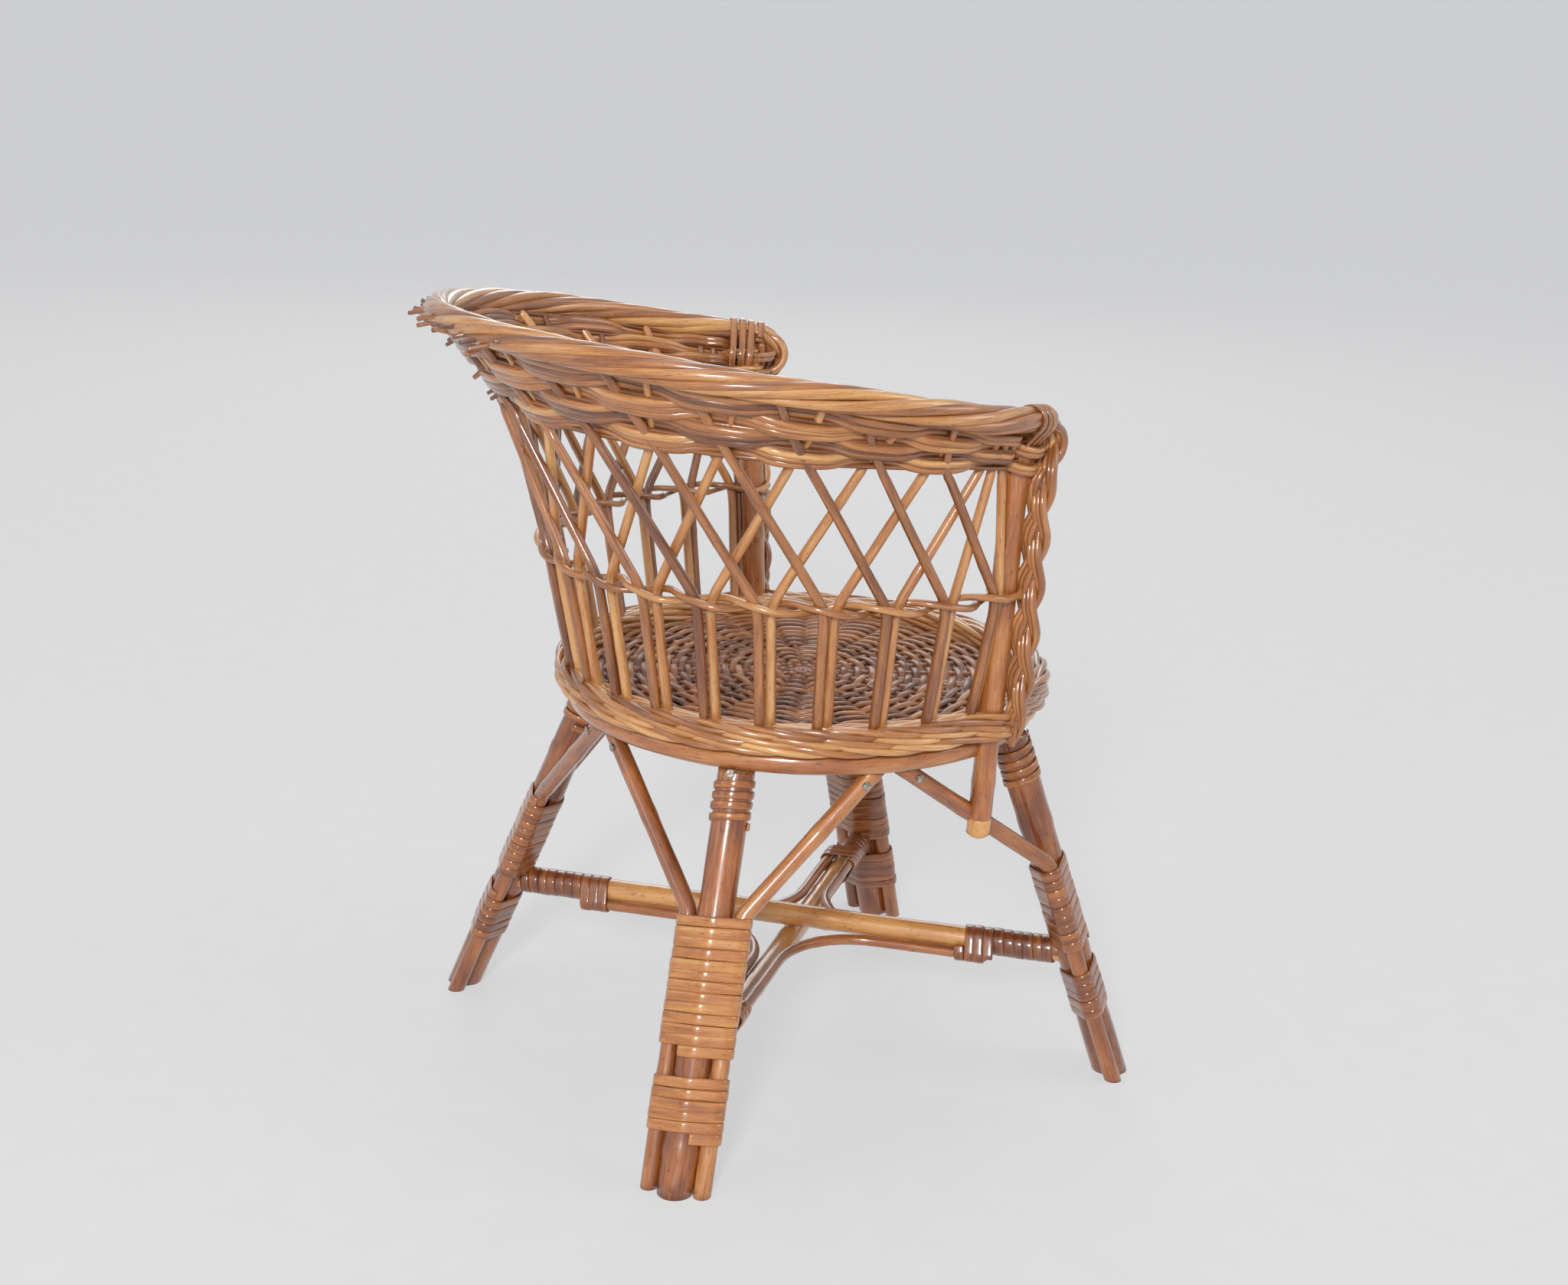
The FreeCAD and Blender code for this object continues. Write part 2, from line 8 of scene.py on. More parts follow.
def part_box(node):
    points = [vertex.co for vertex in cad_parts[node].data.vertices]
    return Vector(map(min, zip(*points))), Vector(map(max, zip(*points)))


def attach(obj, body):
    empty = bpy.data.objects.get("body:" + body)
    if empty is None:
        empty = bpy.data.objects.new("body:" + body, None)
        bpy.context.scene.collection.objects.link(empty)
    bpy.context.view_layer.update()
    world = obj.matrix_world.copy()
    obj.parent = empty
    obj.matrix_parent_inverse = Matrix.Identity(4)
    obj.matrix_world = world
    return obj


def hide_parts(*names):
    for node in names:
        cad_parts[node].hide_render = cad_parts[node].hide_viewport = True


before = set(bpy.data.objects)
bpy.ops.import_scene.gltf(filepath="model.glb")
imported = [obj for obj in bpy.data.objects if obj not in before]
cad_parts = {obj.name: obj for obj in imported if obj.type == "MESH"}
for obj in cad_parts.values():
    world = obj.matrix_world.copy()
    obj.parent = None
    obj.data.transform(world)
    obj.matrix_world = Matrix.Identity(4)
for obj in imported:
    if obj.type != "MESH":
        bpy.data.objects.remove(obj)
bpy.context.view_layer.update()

# A child's wicker armchair dressed over its solids. Lengths here are in millimetres about the middle of
# the seat: +Z up, the sitter faces -Y, and angles run from straight back towards the sitter's left.

MM = 0.001
UP = np.array([0.0, 0.0, 1.0])
BACK = np.array([0.0, 1.0, 0.0])
SEAT_LOW, SEAT_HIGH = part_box("seat_panel")
SEAT_MIDDLE = np.array([(SEAT_LOW.x + SEAT_HIGH.x) / 2, (SEAT_LOW.y + SEAT_HIGH.y) / 2, 0.0])
rng = np.random.default_rng(7)

# Hoop, border and seat
CLEARANCE = 0.3
HOOP_RADIUS = 125.0
HOOP_DIA = 13.0
HOOP_HEIGHT = 208.0
HOOP_UNDER = HOOP_HEIGHT - HOOP_DIA / 2 - CLEARANCE
HOOP_OVER = HOOP_HEIGHT + HOOP_DIA / 2 + CLEARANCE
BORDER_INNER = 121.0
BORDER_OUTER = 139.3
BORDER_TOP = HOOP_OVER + 14.0
BORDER_BULGE = 7.0
WALE_RODS = 3
WALE_ROD = 3.9
WALE_TWIST = 2.3
WALE_WAVES = 11
WALE_STEP = 4.4
SEAT_LEVEL = HOOP_OVER + 3.4
SPOKES = 28
SPOKE_WIDTH = 4.2
SPOKE_THICK = 3.4
LONG_SPOKE_START = 6.0
SHORT_SPOKE_START = 44.0
SEAT_FIRST_ROW = 7.0
SEAT_ROW_STEP = 4.1
SEAT_ROD_WIDTH = 4.6
SEAT_ROD_THICK = 2.7
SEAT_SWING = 1.75

# Legs, braces, stretchers, ties and their straps
LEG_DIA = 19.0
LEG_TOP_RADIUS = 121.0
BRACE_DIA = 9.2
BRACE_JOIN = 76.0
BRACE_BEND = 14.0
BRACE_SPREAD = 7.9
BRACE_SIDE_ANGLE = 82.0
BINDING_PITCH = 5.5
STRAP_WIDTH = 5.7
STRAP_THICK = 1.3
STRAP_WANDER = 0.32
TOP_STRAP_WIDTH = 4.0
TOP_START = 8.0
TOP_TURNS = 4
FOOT_TURNS = 5.2
STRETCHER_DIA = 13.0
STRETCHER_HEIGHT = 64.5
TIE_DIA = 6.0
TIE_SHORT = 49.0
TIE_BEND = 46.0
TIE_DROP = -(STRETCHER_DIA + CLEARANCE) / 2
TIE_BESIDE = math.sqrt(((STRETCHER_DIA + TIE_DIA) / 2 + 1.5 * CLEARANCE) ** 2 - TIE_DROP ** 2)
ARM_TURNS = 7.0
TIE_TURNS = 3.1

# Stakes and waist
STAKE_DIA = 5.4
STAKE_PAIRS = 17
STAKE_STEP = 12.8
STAKE_LAYER = STAKE_DIA / 2 + 1.1
STAKE_FOOT_RADIUS = 130.0
STAKE_ROOT = 9
STAKE_BEND = 30
LATTICE_LEAN = 18.0
WAIST_HEIGHT = 294.0
WAIST_RADIUS = 143.0
WAIST_LAYER = 1.8
WAIST_STRAND = 4.4
WAIST_CROSS = 2.3

# Posts, band and rim. Angles are in degrees.
RIM_DIA = 15.0
RIM_END = 109.0
RIM_RADIUS = 166
RIM_FLARE = 39
RIM_HEIGHT = 392
RIM_REAR_RISE = 31
RIM_FRONT_FALL = 20
POST_DIA = 13.7
POST_STUB_DIA = 12.4
POST_STUB = 50.0
POST_FOOT = (126.0, -40.0)
POST_HEAD = (139.7, -38.0)
POST_ANGLE = 105.3
POST_INSET = 1.9
BAND_RADIUS = 150
BAND_FLARE = 17
BAND_HEIGHT = 365
BAND_REAR_RISE = 10
BAND_FRONT_FALL = 19
BAND_ROWS = 4
BAND_SWING = 2.4
BAND_CROWD = 1.2
BAND_THICK = 3.6
BAND_FILL = 2.8
ROPE_RODS = 7
ROPE_ROD = 5.8
ROPE_REACH = 4.7
ROPE_LAY = 210.0
LASH_TURNS = 3.3
CURL_FILL = 5.2
TIP_TAPER = 0.8

# Braids, and the points of a braid's path that the rim's rods follow too
BRAID_DIA = 12
BRAID_LAY = 78.0
BRAID_CORE = 5.4
BRAID_REACH = 3.9
BRAID_LIFT = 2.7
BRAID_ROD_STEP = 2.5
BRAID_ROD_WIDTH = 3.5
BRAID_ROD_DEPTH = 4.6
RIM_CURL = slice(12, 34)

# Eased rod ends, and swells and knots of natural sticks: shares of the thickness, but for the length
END_REACH = 0.12
END_SHRINK = 0.74
SWELL = 0.022
KNOT_SWELL = 0.06
KNOT_LENGTH = 3.2


# Paths

def unit(vectors):
    """Directions of length one."""
    return vectors / np.linalg.norm(vectors, axis=-1, keepdims=True)


def ring(radius, degrees, height):
    """Points at angles from straight back."""
    radius, angle, height = np.broadcast_arrays(radius, np.radians(degrees), height)
    return np.stack([radius * np.sin(angle), radius * np.cos(angle), height], axis=-1)


def run_along(path):
    """The distance along a polyline to each of its points."""
    return np.concatenate([[0.0], np.cumsum(np.linalg.norm(np.diff(path, axis=0), axis=1))])


def resample(path, step):
    """The same polyline with evenly spaced points."""
    run = run_along(path)
    places = np.linspace(0, run[-1], max(3, round(run[-1] / step) + 1))
    return np.stack([np.interp(places, run, path[:, axis]) for axis in range(3)], axis=1)


def rounded(points, bend, step):
    """Straight runs through the points with each corner rounded to the bend radius."""
    path = [points[0]]
    for before, corner, after in zip(points, points[1:], points[2:]):
        arrive, leave = unit(corner - before), unit(after - corner)
        turn = math.acos(float(np.clip(arrive @ leave, -1, 1)))
        first = corner - arrive * bend * math.tan(turn / 2)
        centre = corner + unit(leave - arrive) * bend / math.cos(turn / 2)
        for angle in np.linspace(0, turn, 12):
            path.append(centre + (first - centre) * math.cos(angle) + arrive * bend * math.sin(angle))
    path.append(points[-1])
    return resample(np.array(path), step)


def spline(points, step):
    """A smooth curve through the points."""
    points = np.asarray(points, float)
    padded = np.vstack([2 * points[0] - points[1], points, 2 * points[-1] - points[-2]])
    path = []
    for p0, p1, p2, p3 in zip(padded, padded[1:], padded[2:], padded[3:]):
        for t in np.linspace(0, 1, 14, endpoint=False):
            path.append(0.5 * (2 * p1 + (p2 - p0) * t + (2 * p0 - 5 * p1 + 4 * p2 - p3) * t ** 2
                               + (3 * p1 - p0 - 3 * p2 + p3) * t ** 3))
    path.append(points[-1])
    return resample(np.array(path), step)


def wobble(count, waves):
    """A smooth irregular line of about unit height, a few waves long."""
    place = np.linspace(0, 1, count)
    total = np.zeros(count)
    for wave in range(1, 4):
        total += np.sin(math.tau * (place * waves * wave * 0.6 + rng.random())) / wave
    return total / 1.6


def frames(path, face, closed):
    """The heading along a path and two directions across it, the second as near to face as can be."""
    ahead = np.roll(path, -1, 0) - np.roll(path, 1, 0) if closed else np.gradient(path, axis=0)
    heading = unit(ahead)
    face = np.broadcast_to(face, path.shape)
    normal = unit(face - heading * np.sum(face * heading, axis=1, keepdims=True))
    return heading, np.cross(heading, normal), normal


# Swept rods

class Strands:
    """Swept rods that make one piece together."""

    def __init__(self):
        self.points, self.faces, self.tones, self.grains, self.cut_faces = [], [], [], [], []
        self.total = 0

    def add(self, path, width, depth=None, face=UP, tone=0.5, sides=10, power=1.0, closed=False,
            high=None, low=None):
        """Sweep a rounded section along a path. Ends are eased, or cut level at high and low."""
        path = np.asarray(path, float)
        width = np.array(np.broadcast_to(width, len(path)), float)
        depth = width.copy() if depth is None else np.array(np.broadcast_to(depth, len(path)), float)
        face = np.array(np.broadcast_to(face, path.shape), float)
        if not closed and high is None:
            path = np.vstack([path[0] - unit(path[1] - path[0]) * END_REACH * depth[0], path])
            width, depth = np.r_[END_SHRINK * width[0], width], np.r_[END_SHRINK * depth[0], depth]
            face = np.vstack([face[0], face])
        if not closed and low is None:
            path = np.vstack([path, path[-1] + unit(path[-1] - path[-2]) * END_REACH * depth[-1]])
            width, depth = np.r_[width, END_SHRINK * width[-1]], np.r_[depth, END_SHRINK * depth[-1]]
            face = np.vstack([face, face[-1]])
        heading, across, normal = frames(path, face, closed)
        turn = math.tau * np.arange(sides) / sides
        cos = np.sign(np.cos(turn)) * np.abs(np.cos(turn)) ** power
        sin = np.sign(np.sin(turn)) * np.abs(np.sin(turn)) ** power
        rings = (path[:, None] + across[:, None] * (width / 2)[:, None, None] * cos[None, :, None]
                 + normal[:, None] * (depth / 2)[:, None, None] * sin[None, :, None])
        for end, level in ((0, high), (-1, low)):
            if level is not None:
                slide = (level - rings[end, :, 2]) / heading[end, 2]
                rings[end] += slide[:, None] * heading[end]
        self.store(path, rings, cos, sin, tone, closed)

    def store(self, path, rings, cos, sin, tone, closed):
        """Keep the rings of points, their tone, their place along the grain, and the faces between them."""
        count, sides = rings.shape[:2]
        along = run_along(path) / 10
        grain = np.empty((count, sides, 3))
        grain[:, :, 0] = along[:, None] + rng.random() * 400
        grain[:, :, 1] = cos
        grain[:, :, 2] = sin
        self.points.append(rings.reshape(-1, 3))
        self.grains.append(grain.reshape(-1, 3))
        self.tones.append(np.full(count * sides, tone))
        rows = np.arange(count if closed else count - 1)
        here = (rows * sides)[:, None] + np.arange(sides)
        there = ((rows + 1) % count * sides)[:, None] + np.arange(sides)
        quads = np.stack([here, there, np.roll(there, -1, 1), np.roll(here, -1, 1)], axis=-1)
        self.faces.extend((quads.reshape(-1, 4) + self.total).tolist())
        if not closed:
            first = np.arange(sides) + self.total
            last = first[::-1] + (count - 1) * sides
            self.cut_faces.extend([first.tolist(), last.tolist()])
        self.total += count * sides

    def piece(self, name, material, slot, *nodes):
        """Make the mesh, set it on the body and let it stand for its solids."""
        mesh = bpy.data.meshes.new(name)
        places = np.vstack(self.points) * MM + SEAT_MIDDLE
        faces = self.faces + self.cut_faces
        mesh.from_pydata(places.tolist(), [], faces)
        mesh.materials.append(material)
        mesh.materials.append(cut_end)
        is_cut = np.arange(len(faces)) >= len(self.faces)
        mesh.polygons.foreach_set("material_index", is_cut.astype(np.int32))
        mesh.polygons.foreach_set("use_smooth", ~is_cut)
        mesh.attributes.new("tone", "FLOAT", "POINT").data.foreach_set("value", np.concatenate(self.tones))
        grain = mesh.attributes.new("grain", "FLOAT_VECTOR", "POINT")
        grain.data.foreach_set("vector", np.vstack(self.grains).ravel())
        mesh.update()
        obj = bpy.data.objects.new(name, mesh)
        bpy.context.scene.collection.objects.link(obj)
        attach(obj, "root")
        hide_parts(*nodes)


def stick_width(path, diameter):
    """The thickness of a natural stick, with slow swells and a knot now and then."""
    run = run_along(path)
    width = diameter * (1 + SWELL * wobble(len(path), max(1.5, run[-1] / 60)))
    place = 18 + 40 * rng.random()
    while place < run[-1] - 10:
        width += KNOT_SWELL * diameter * np.exp(-((run - place) / KNOT_LENGTH) ** 2)
        place += 45 + 55 * rng.random()
    return width


def stick(strands, path, diameter, tone, face=BACK, **cuts):
    """A natural stick along a path, a little bowed."""
    bow = wobble(len(path), 1.5)[:, None] * 0.35 * np.sin(np.linspace(0, math.pi, len(path)))[:, None]
    strands.add(path + bow * face, stick_width(path, diameter), face=face, tone=tone, sides=20, **cuts)


# Materials

def colour(red, green, blue):
    """A display colour as scene linear."""
    channels = [value / 255 for value in (red, green, blue)]
    return tuple(c / 12.92 if c <= 0.04045 else ((c + 0.055) / 1.055) ** 2.4 for c in channels) + (1.0,)


class Graph:
    """A material's nodes, added one by one."""

    def __init__(self, name):
        self.material = bpy.data.materials.new(name)
        self.material.use_nodes = True
        self.tree = self.material.node_tree
        self.shader = self.tree.nodes["Principled BSDF"]

    def node(self, kind, **settings):
        node = self.tree.nodes.new("ShaderNode" + kind)
        for key, value in settings.items():
            setattr(node, key, value)
        return node

    def link(self, source, target):
        self.tree.links.new(source, target)

    def attribute(self, name):
        return self.node("Attribute", attribute_name=name)

    def scaled(self, vector, scale):
        mapping = self.node("Mapping")
        mapping.inputs["Scale"].default_value = scale
        self.link(vector, mapping.inputs["Vector"])
        return mapping.outputs["Vector"]

    def noise(self, vector, scale, detail):
        noise = self.node("TexNoise")
        noise.inputs["Scale"].default_value = scale
        noise.inputs["Detail"].default_value = detail
        self.link(vector, noise.inputs["Vector"])
        return noise.outputs["Fac"]

    def math(self, operation, first, second):
        node = self.node("Math", operation=operation)
        for value, socket in zip((first, second), node.inputs):
            if isinstance(value, (int, float)):
                socket.default_value = value
            else:
                self.link(value, socket)
        return node.outputs["Value"]

    def ramp(self, value, stops):
        ramp = self.node("ValToRGB")
        elements = ramp.color_ramp.elements
        while len(elements) < len(stops):
            elements.new(0.5)
        for element, (place, shade) in zip(elements, stops):
            element.position = place
            element.color = shade
        self.link(value, ramp.inputs["Fac"])
        return ramp.outputs["Color"]

    def spread(self, value, low, high):
        node = self.node("MapRange")
        node.inputs["To Min"].default_value = low
        node.inputs["To Max"].default_value = high
        self.link(value, node.inputs["Value"])
        return node.outputs["Result"]

    def bump(self, value, strength, distance):
        bump = self.node("Bump")
        bump.inputs["Strength"].default_value = strength
        bump.inputs["Distance"].default_value = distance
        self.link(value, bump.inputs["Height"])
        self.link(bump.outputs["Normal"], self.shader.inputs["Normal"])


def willow(name, deep, dark, middle, pale, coat):
    """Varnished willow: fibres along the rod, slow changes of colour, dark flecks and a gloss coat."""
    graph = Graph(name)
    grain = graph.attribute("grain").outputs["Vector"]
    tone = graph.attribute("tone").outputs["Fac"]
    fibre = graph.noise(graph.scaled(grain, (0.25, 2.4, 2.4)), 3.0, 7.0)
    blotch = graph.noise(graph.scaled(grain, (0.22, 0.55, 0.55)), 1.4, 3.0)
    flecks = graph.noise(graph.scaled(grain, (1.3, 1.6, 1.6)), 2.3, 3.0)
    shade = graph.math("MULTIPLY", fibre, 0.5)
    shade = graph.math("ADD", shade, graph.math("MULTIPLY", blotch, 0.7))
    shade = graph.math("ADD", shade, graph.math("SUBTRACT", tone, 0.6))
    stops = zip((0.0, 0.3, 0.58, 0.95), (deep, dark, middle, pale))
    base = graph.ramp(shade, [(place, colour(*shade_of)) for place, shade_of in stops])
    fleck = graph.ramp(flecks, [(0.27, (0.25, 0.16, 0.1, 1.0)), (0.38, (1.0, 1.0, 1.0, 1.0))])
    mix = graph.node("Mix", data_type="RGBA", blend_type="MULTIPLY")
    mix.inputs["Factor"].default_value = 0.75
    graph.link(base, mix.inputs["A"])
    graph.link(fleck, mix.inputs["B"])
    graph.link(mix.outputs["Result"], graph.shader.inputs["Base Color"])
    graph.link(graph.spread(fibre, 0.26, 0.5), graph.shader.inputs["Roughness"])
    graph.bump(graph.math("ADD", fibre, graph.math("MULTIPLY", flecks, 0.5)), 0.45, 0.0005)
    graph.shader.inputs["Coat Weight"].default_value = coat
    graph.shader.inputs["Coat Roughness"].default_value = 0.15
    graph.shader.inputs["Coat IOR"].default_value = 1.6
    return graph.material


def cut_wood():
    """Bare sawn ends of the sticks."""
    graph = Graph("cut_end")
    place = graph.node("NewGeometry").outputs["Position"]
    pores = graph.noise(place, 900.0, 3.0)
    shade = graph.ramp(pores, [(0.3, colour(128, 84, 48)), (0.62, colour(206, 160, 108))])
    graph.link(shade, graph.shader.inputs["Base Color"])
    graph.bump(pores, 0.4, 0.0004)
    graph.shader.inputs["Roughness"].default_value = 0.6
    return graph.material


def nail_metal():
    """Dulled steel nail heads."""
    graph = Graph("nail_steel")
    place = graph.node("NewGeometry").outputs["Position"]
    stain = graph.noise(place, 700.0, 4.0)
    shade = graph.ramp(stain, [(0.35, colour(112, 98, 84)), (0.65, colour(206, 198, 188))])
    graph.link(shade, graph.shader.inputs["Base Color"])
    graph.link(graph.spread(stain, 0.22, 0.45), graph.shader.inputs["Roughness"])
    graph.bump(stain, 0.3, 0.0002)
    graph.shader.inputs["Metallic"].default_value = 0.9
    return graph.material


cut_end = cut_wood()
stick_wood = willow("stick_wood", (46, 18, 6), (112, 54, 20), (168, 98, 44), (212, 154, 88), 1.0)
stake_wood = willow("stake_wood", (58, 28, 11), (124, 70, 33), (180, 116, 62), (224, 174, 112), 0.9)
weave_wood = willow("weave_wood", (44, 21, 8), (110, 60, 26), (174, 110, 55), (228, 178, 112), 0.9)
# The seat's palette is darker than the other weave's: painted shade of the seat down inside the chair. Its
# coat is thinner too.
seat_wood_painted_shade = willow("seat_wood_painted_shade", (38, 17, 7), (96, 50, 22), (158, 96, 47), (214, 160, 96), 0.3)
binding_wood = willow("binding_wood", (52, 21, 6), (120, 60, 20), (182, 111, 46), (222, 168, 92), 1.0)


# Legs, braces and stretchers

class Leg:
    """A leg's axis and the bundle of sticks beside it, as in the solids."""

    def __init__(self, side, top_angle, foot, level):
        self.side = side
        self.top = ring(LEG_TOP_RADIUS, side * top_angle, HOOP_UNDER)
        self.foot = np.array([side * foot[0], foot[1], 0.0])
        self.axis = unit(self.foot - self.top)
        self.length = float(np.linalg.norm(self.foot - self.top))
        level_out = unit(self.axis * [1, 1, 0])
        self.across = np.cross(UP, level_out)
        square = np.cross(self.axis, self.across)
        self.outward = unit(square * np.sign(square @ level_out))
        self.brace_offset = (LEG_DIA + BRACE_DIA) / 2 + CLEARANCE / 2
        self.stretcher_at = (self.top[2] - level) / -self.axis[2]

    def along(self, distance):
        """A point of the axis, by its distance from the top."""
        return self.top + self.axis * distance

    @property
    def joint(self):
        """Where the stretcher's axis meets the leg's."""
        return self.along(self.stretcher_at)


UPPER = STRETCHER_HEIGHT + (STRETCHER_DIA + CLEARANCE) / 2
LOWER = STRETCHER_HEIGHT - (STRETCHER_DIA + CLEARANCE) / 2
LEGS = {
    "rear_right": Leg(-1, 44, (140.5, 146.7), LOWER),
    "rear_left": Leg(1, 44, (140.5, 146.7), UPPER),
    "front_right": Leg(-1, 130, (127.5, -139.4), UPPER),
    "front_left": Leg(1, 130, (127.5, -139.4), LOWER),
}
LEG_TONES = {"rear_right": 0.46, "rear_left": 0.42, "front_right": 0.4, "front_left": 0.44}
BRACE_TONES = {"rear_right_end": 0.46, "rear_right_side": 0.66}
# Strap tones per leg. The rear right leg's straps, nearest the camera and the key lamp, are paler: painted
# light.
BINDING_TONES_PAINTED_LIGHT = {"rear_right": 0.62, "rear_left": 0.42, "front_right": 0.4, "front_left": 0.42}
STRETCHERS = {"stretcher_1": ("rear_right", "front_left"), "stretcher_2": ("rear_left", "front_right")}
OPPOSITE = dict([*STRETCHERS.values(), *(ends[::-1] for ends in STRETCHERS.values())])


def make_legs():
    """Four splayed sticks, cut level at the hoop and the floor."""
    for place, leg in LEGS.items():
        strands = Strands()
        path = resample(np.array([leg.top, leg.foot]), 4)
        stick(strands, path, LEG_DIA, LEG_TONES[place], face=leg.outward, high=HOOP_UNDER, low=0.0)
        name = "leg_" + place
        strands.piece(name + "_stick", stick_wood, "frame_stick", name)


def make_braces():
    """Thinner sticks from the hoop to a leg, bent there and carried down beside it to the floor."""
    for place, leg in LEGS.items():
        rear = place.startswith("rear")
        turn = 1 if place in ("rear_right", "front_left") else -1
        ways = (("end", 0 if rear else 180, -turn), ("side", leg.side * BRACE_SIDE_ANGLE, turn))
        for kind, hoop_angle, side in ways:
            head = ring(LEG_TOP_RADIUS, hoop_angle, HOOP_UNDER)
            head = head + ring(1, hoop_angle + 90, 0) * side * BRACE_SPREAD
            beside = leg.across * side * leg.brace_offset
            corner = leg.along(BRACE_JOIN) + beside
            path = rounded([head, corner, leg.along(leg.length) + beside], BRACE_BEND, 3)
            strands = Strands()
            tone = BRACE_TONES.get("%s_%s" % (place, kind), 0.42 + 0.12 * rng.random())
            stick(strands, path, BRACE_DIA, tone, face=leg.outward, high=HOOP_UNDER, low=0.0)
            name = "brace_%s_%s" % (place, kind)
            strands.piece(name + "_stick", stick_wood, "frame_stick", name)


def make_stretchers():
    """Two sticks that cross under the seat, one above the other."""
    for name, (one, two) in STRETCHERS.items():
        strands = Strands()
        path = resample(np.array([LEGS[one].joint, LEGS[two].joint]), 4)
        stick(strands, path, STRETCHER_DIA, 0.9, face=UP)
        strands.piece(name + "_stick", stick_wood, "frame_stick", name)


def plan_cross(one, two):
    """The cross product of two directions seen from above."""
    return one[0] * two[1] - one[1] * two[0]


def crossing_point():
    """Where the stretchers cross, seen from above, at the height between them."""
    (one, two), (three, four) = [[LEGS[place].joint for place in ends] for ends in STRETCHERS.values()]
    first, second, between = two - one, four - three, three - one
    share = plan_cross(between, second) / plan_cross(first, second)
    point = one + first * share
    point[2] = STRETCHER_HEIGHT
    return point


def make_ties():
    """Thin sticks bent from one stretcher arm to the next."""
    crossing = crossing_point()
    around = ("rear_right", "rear_left", "front_left", "front_right")
    for one, two in zip(around, around[1:] + around[:1]):
        ways = [unit((LEGS[place].joint - crossing) * [1, 1, 0]) for place in (one, two)]
        opening = math.acos(float(ways[0] @ ways[1]))
        corner = crossing + unit(ways[0] + ways[1]) * TIE_BESIDE / math.sin(opening / 2)
        ends = []
        for place, way in zip((one, two), ways):
            reach = np.linalg.norm((LEGS[place].joint - crossing) * [1, 1, 0]) - TIE_SHORT
            ends.append(corner + way * (reach - (corner - crossing) @ way))
        path = rounded([ends[0], corner, ends[1]], TIE_BEND, 2.5)
        strands = Strands()
        stick(strands, path, TIE_DIA, 0.5, face=UP)
        name = "tie_%s_%s" % (one, two)
        strands.piece(name + "_stick", stick_wood, "frame_stick", name)


def outline_of(*rounds):
    """The line of a strap pulled tight round sticks, each given by its middle and its radius."""
    line = []
    for angle in np.linspace(0, math.tau, 121):
        way = np.array([math.cos(angle), math.sin(angle)])
        x, y, radius = max(rounds, key=lambda item: item[0] * way[0] + item[1] * way[1] + item[2])
        line.append([x + radius * way[0], y + radius * way[1], 0.0])
    return resample(np.array(line), 1.4)


def strap(strands, origin, axis, across, outline, turns, tone, broad=STRAP_WIDTH):
    """A flat cane strap wound round an outline, turn after turn."""
    deep = np.cross(axis, across)
    count = int(turns * (len(outline) - 1))
    place = np.arange(count + 1)
    local = outline[place % (len(outline) - 1)]
    ahead = outline[(place + 1) % (len(outline) - 1)] - outline[(place - 1) % (len(outline) - 1)]
    normal = unit(np.stack([ahead[:, 1], -ahead[:, 0]], axis=1))
    face = across * normal[:, :1] + deep * normal[:, 1:]
    climb = BINDING_PITCH * place / (len(outline) - 1)
    climb = climb + STRAP_WANDER * wobble(len(place), turns / 1.7)
    path = origin + axis * climb[:, None] + across * local[:, :1] + deep * local[:, 1:2]
    path = path + face * (STRAP_THICK / 2 + 0.15 + 0.18 * wobble(len(place), turns * 1.3)[:, None])
    width = broad * (1 + 0.07 * wobble(len(place), turns))
    strands.add(path, width, STRAP_THICK, face=face, tone=tone, sides=10, power=0.55)


def make_bindings():
    """Cane straps round the leg tops, the bundles of leg and braces, and the stretcher arms."""
    offset = LEGS["rear_right"].brace_offset
    leg_line = outline_of((0, 0, LEG_DIA / 2))
    bundle = outline_of((0, 0, LEG_DIA / 2), (offset, 0, BRACE_DIA / 2), (-offset, 0, BRACE_DIA / 2))
    arm_line = outline_of((0, 0, STRETCHER_DIA / 2))
    for place, leg in LEGS.items():
        # The rear right leg's paler strap tone, carried into all its straps, is painted light.
        tone = BINDING_TONES_PAINTED_LIGHT[place]
        low_start = leg.stretcher_at + STRETCHER_DIA / 2 / -leg.axis[2] - 1.0
        high_start = BRACE_JOIN + 3.0
        high_turns = (leg.stretcher_at - STRETCHER_DIA / 2 - 1.5 - high_start) / BINDING_PITCH
        inward = unit(LEGS[OPPOSITE[place]].joint - leg.joint)
        aside = np.cross(UP, inward)
        arm_start = leg.joint + inward * (LEG_DIA / 2 - 0.5)
        tie_start = arm_start + inward * ARM_TURNS * BINDING_PITCH
        tie_drop = TIE_DROP if leg.joint[2] > STRETCHER_HEIGHT else -TIE_DROP
        ties = [(beside, tie_drop, TIE_DIA / 2) for beside in (TIE_BESIDE, -TIE_BESIDE)]
        tied = outline_of((0, 0, STRETCHER_DIA / 2), *ties)
        down_leg = (leg.axis, leg.across)
        along_arm = (inward, aside)
        windings = {
            "top_binding": [(leg.along(TOP_START), *down_leg, leg_line, TOP_TURNS, 0.46, TOP_STRAP_WIDTH)],
            "binding": [(leg.along(high_start), *down_leg, bundle, high_turns, tone)],
            "foot_binding": [(leg.along(low_start), *down_leg, bundle, FOOT_TURNS, tone - 0.04)],
            "arm_binding": [(arm_start, *along_arm, arm_line, ARM_TURNS, tone - 0.12),
                            (tie_start, *along_arm, tied, TIE_TURNS, tone - 0.08)],
        }
        for kind, straps in windings.items():
            strands = Strands()
            for winding in straps:
                strap(strands, *winding)
            name = "leg_%s_%s" % (place, kind)
            strands.piece(name + "_strap", binding_wood, "binding_cane", name)


# Seat

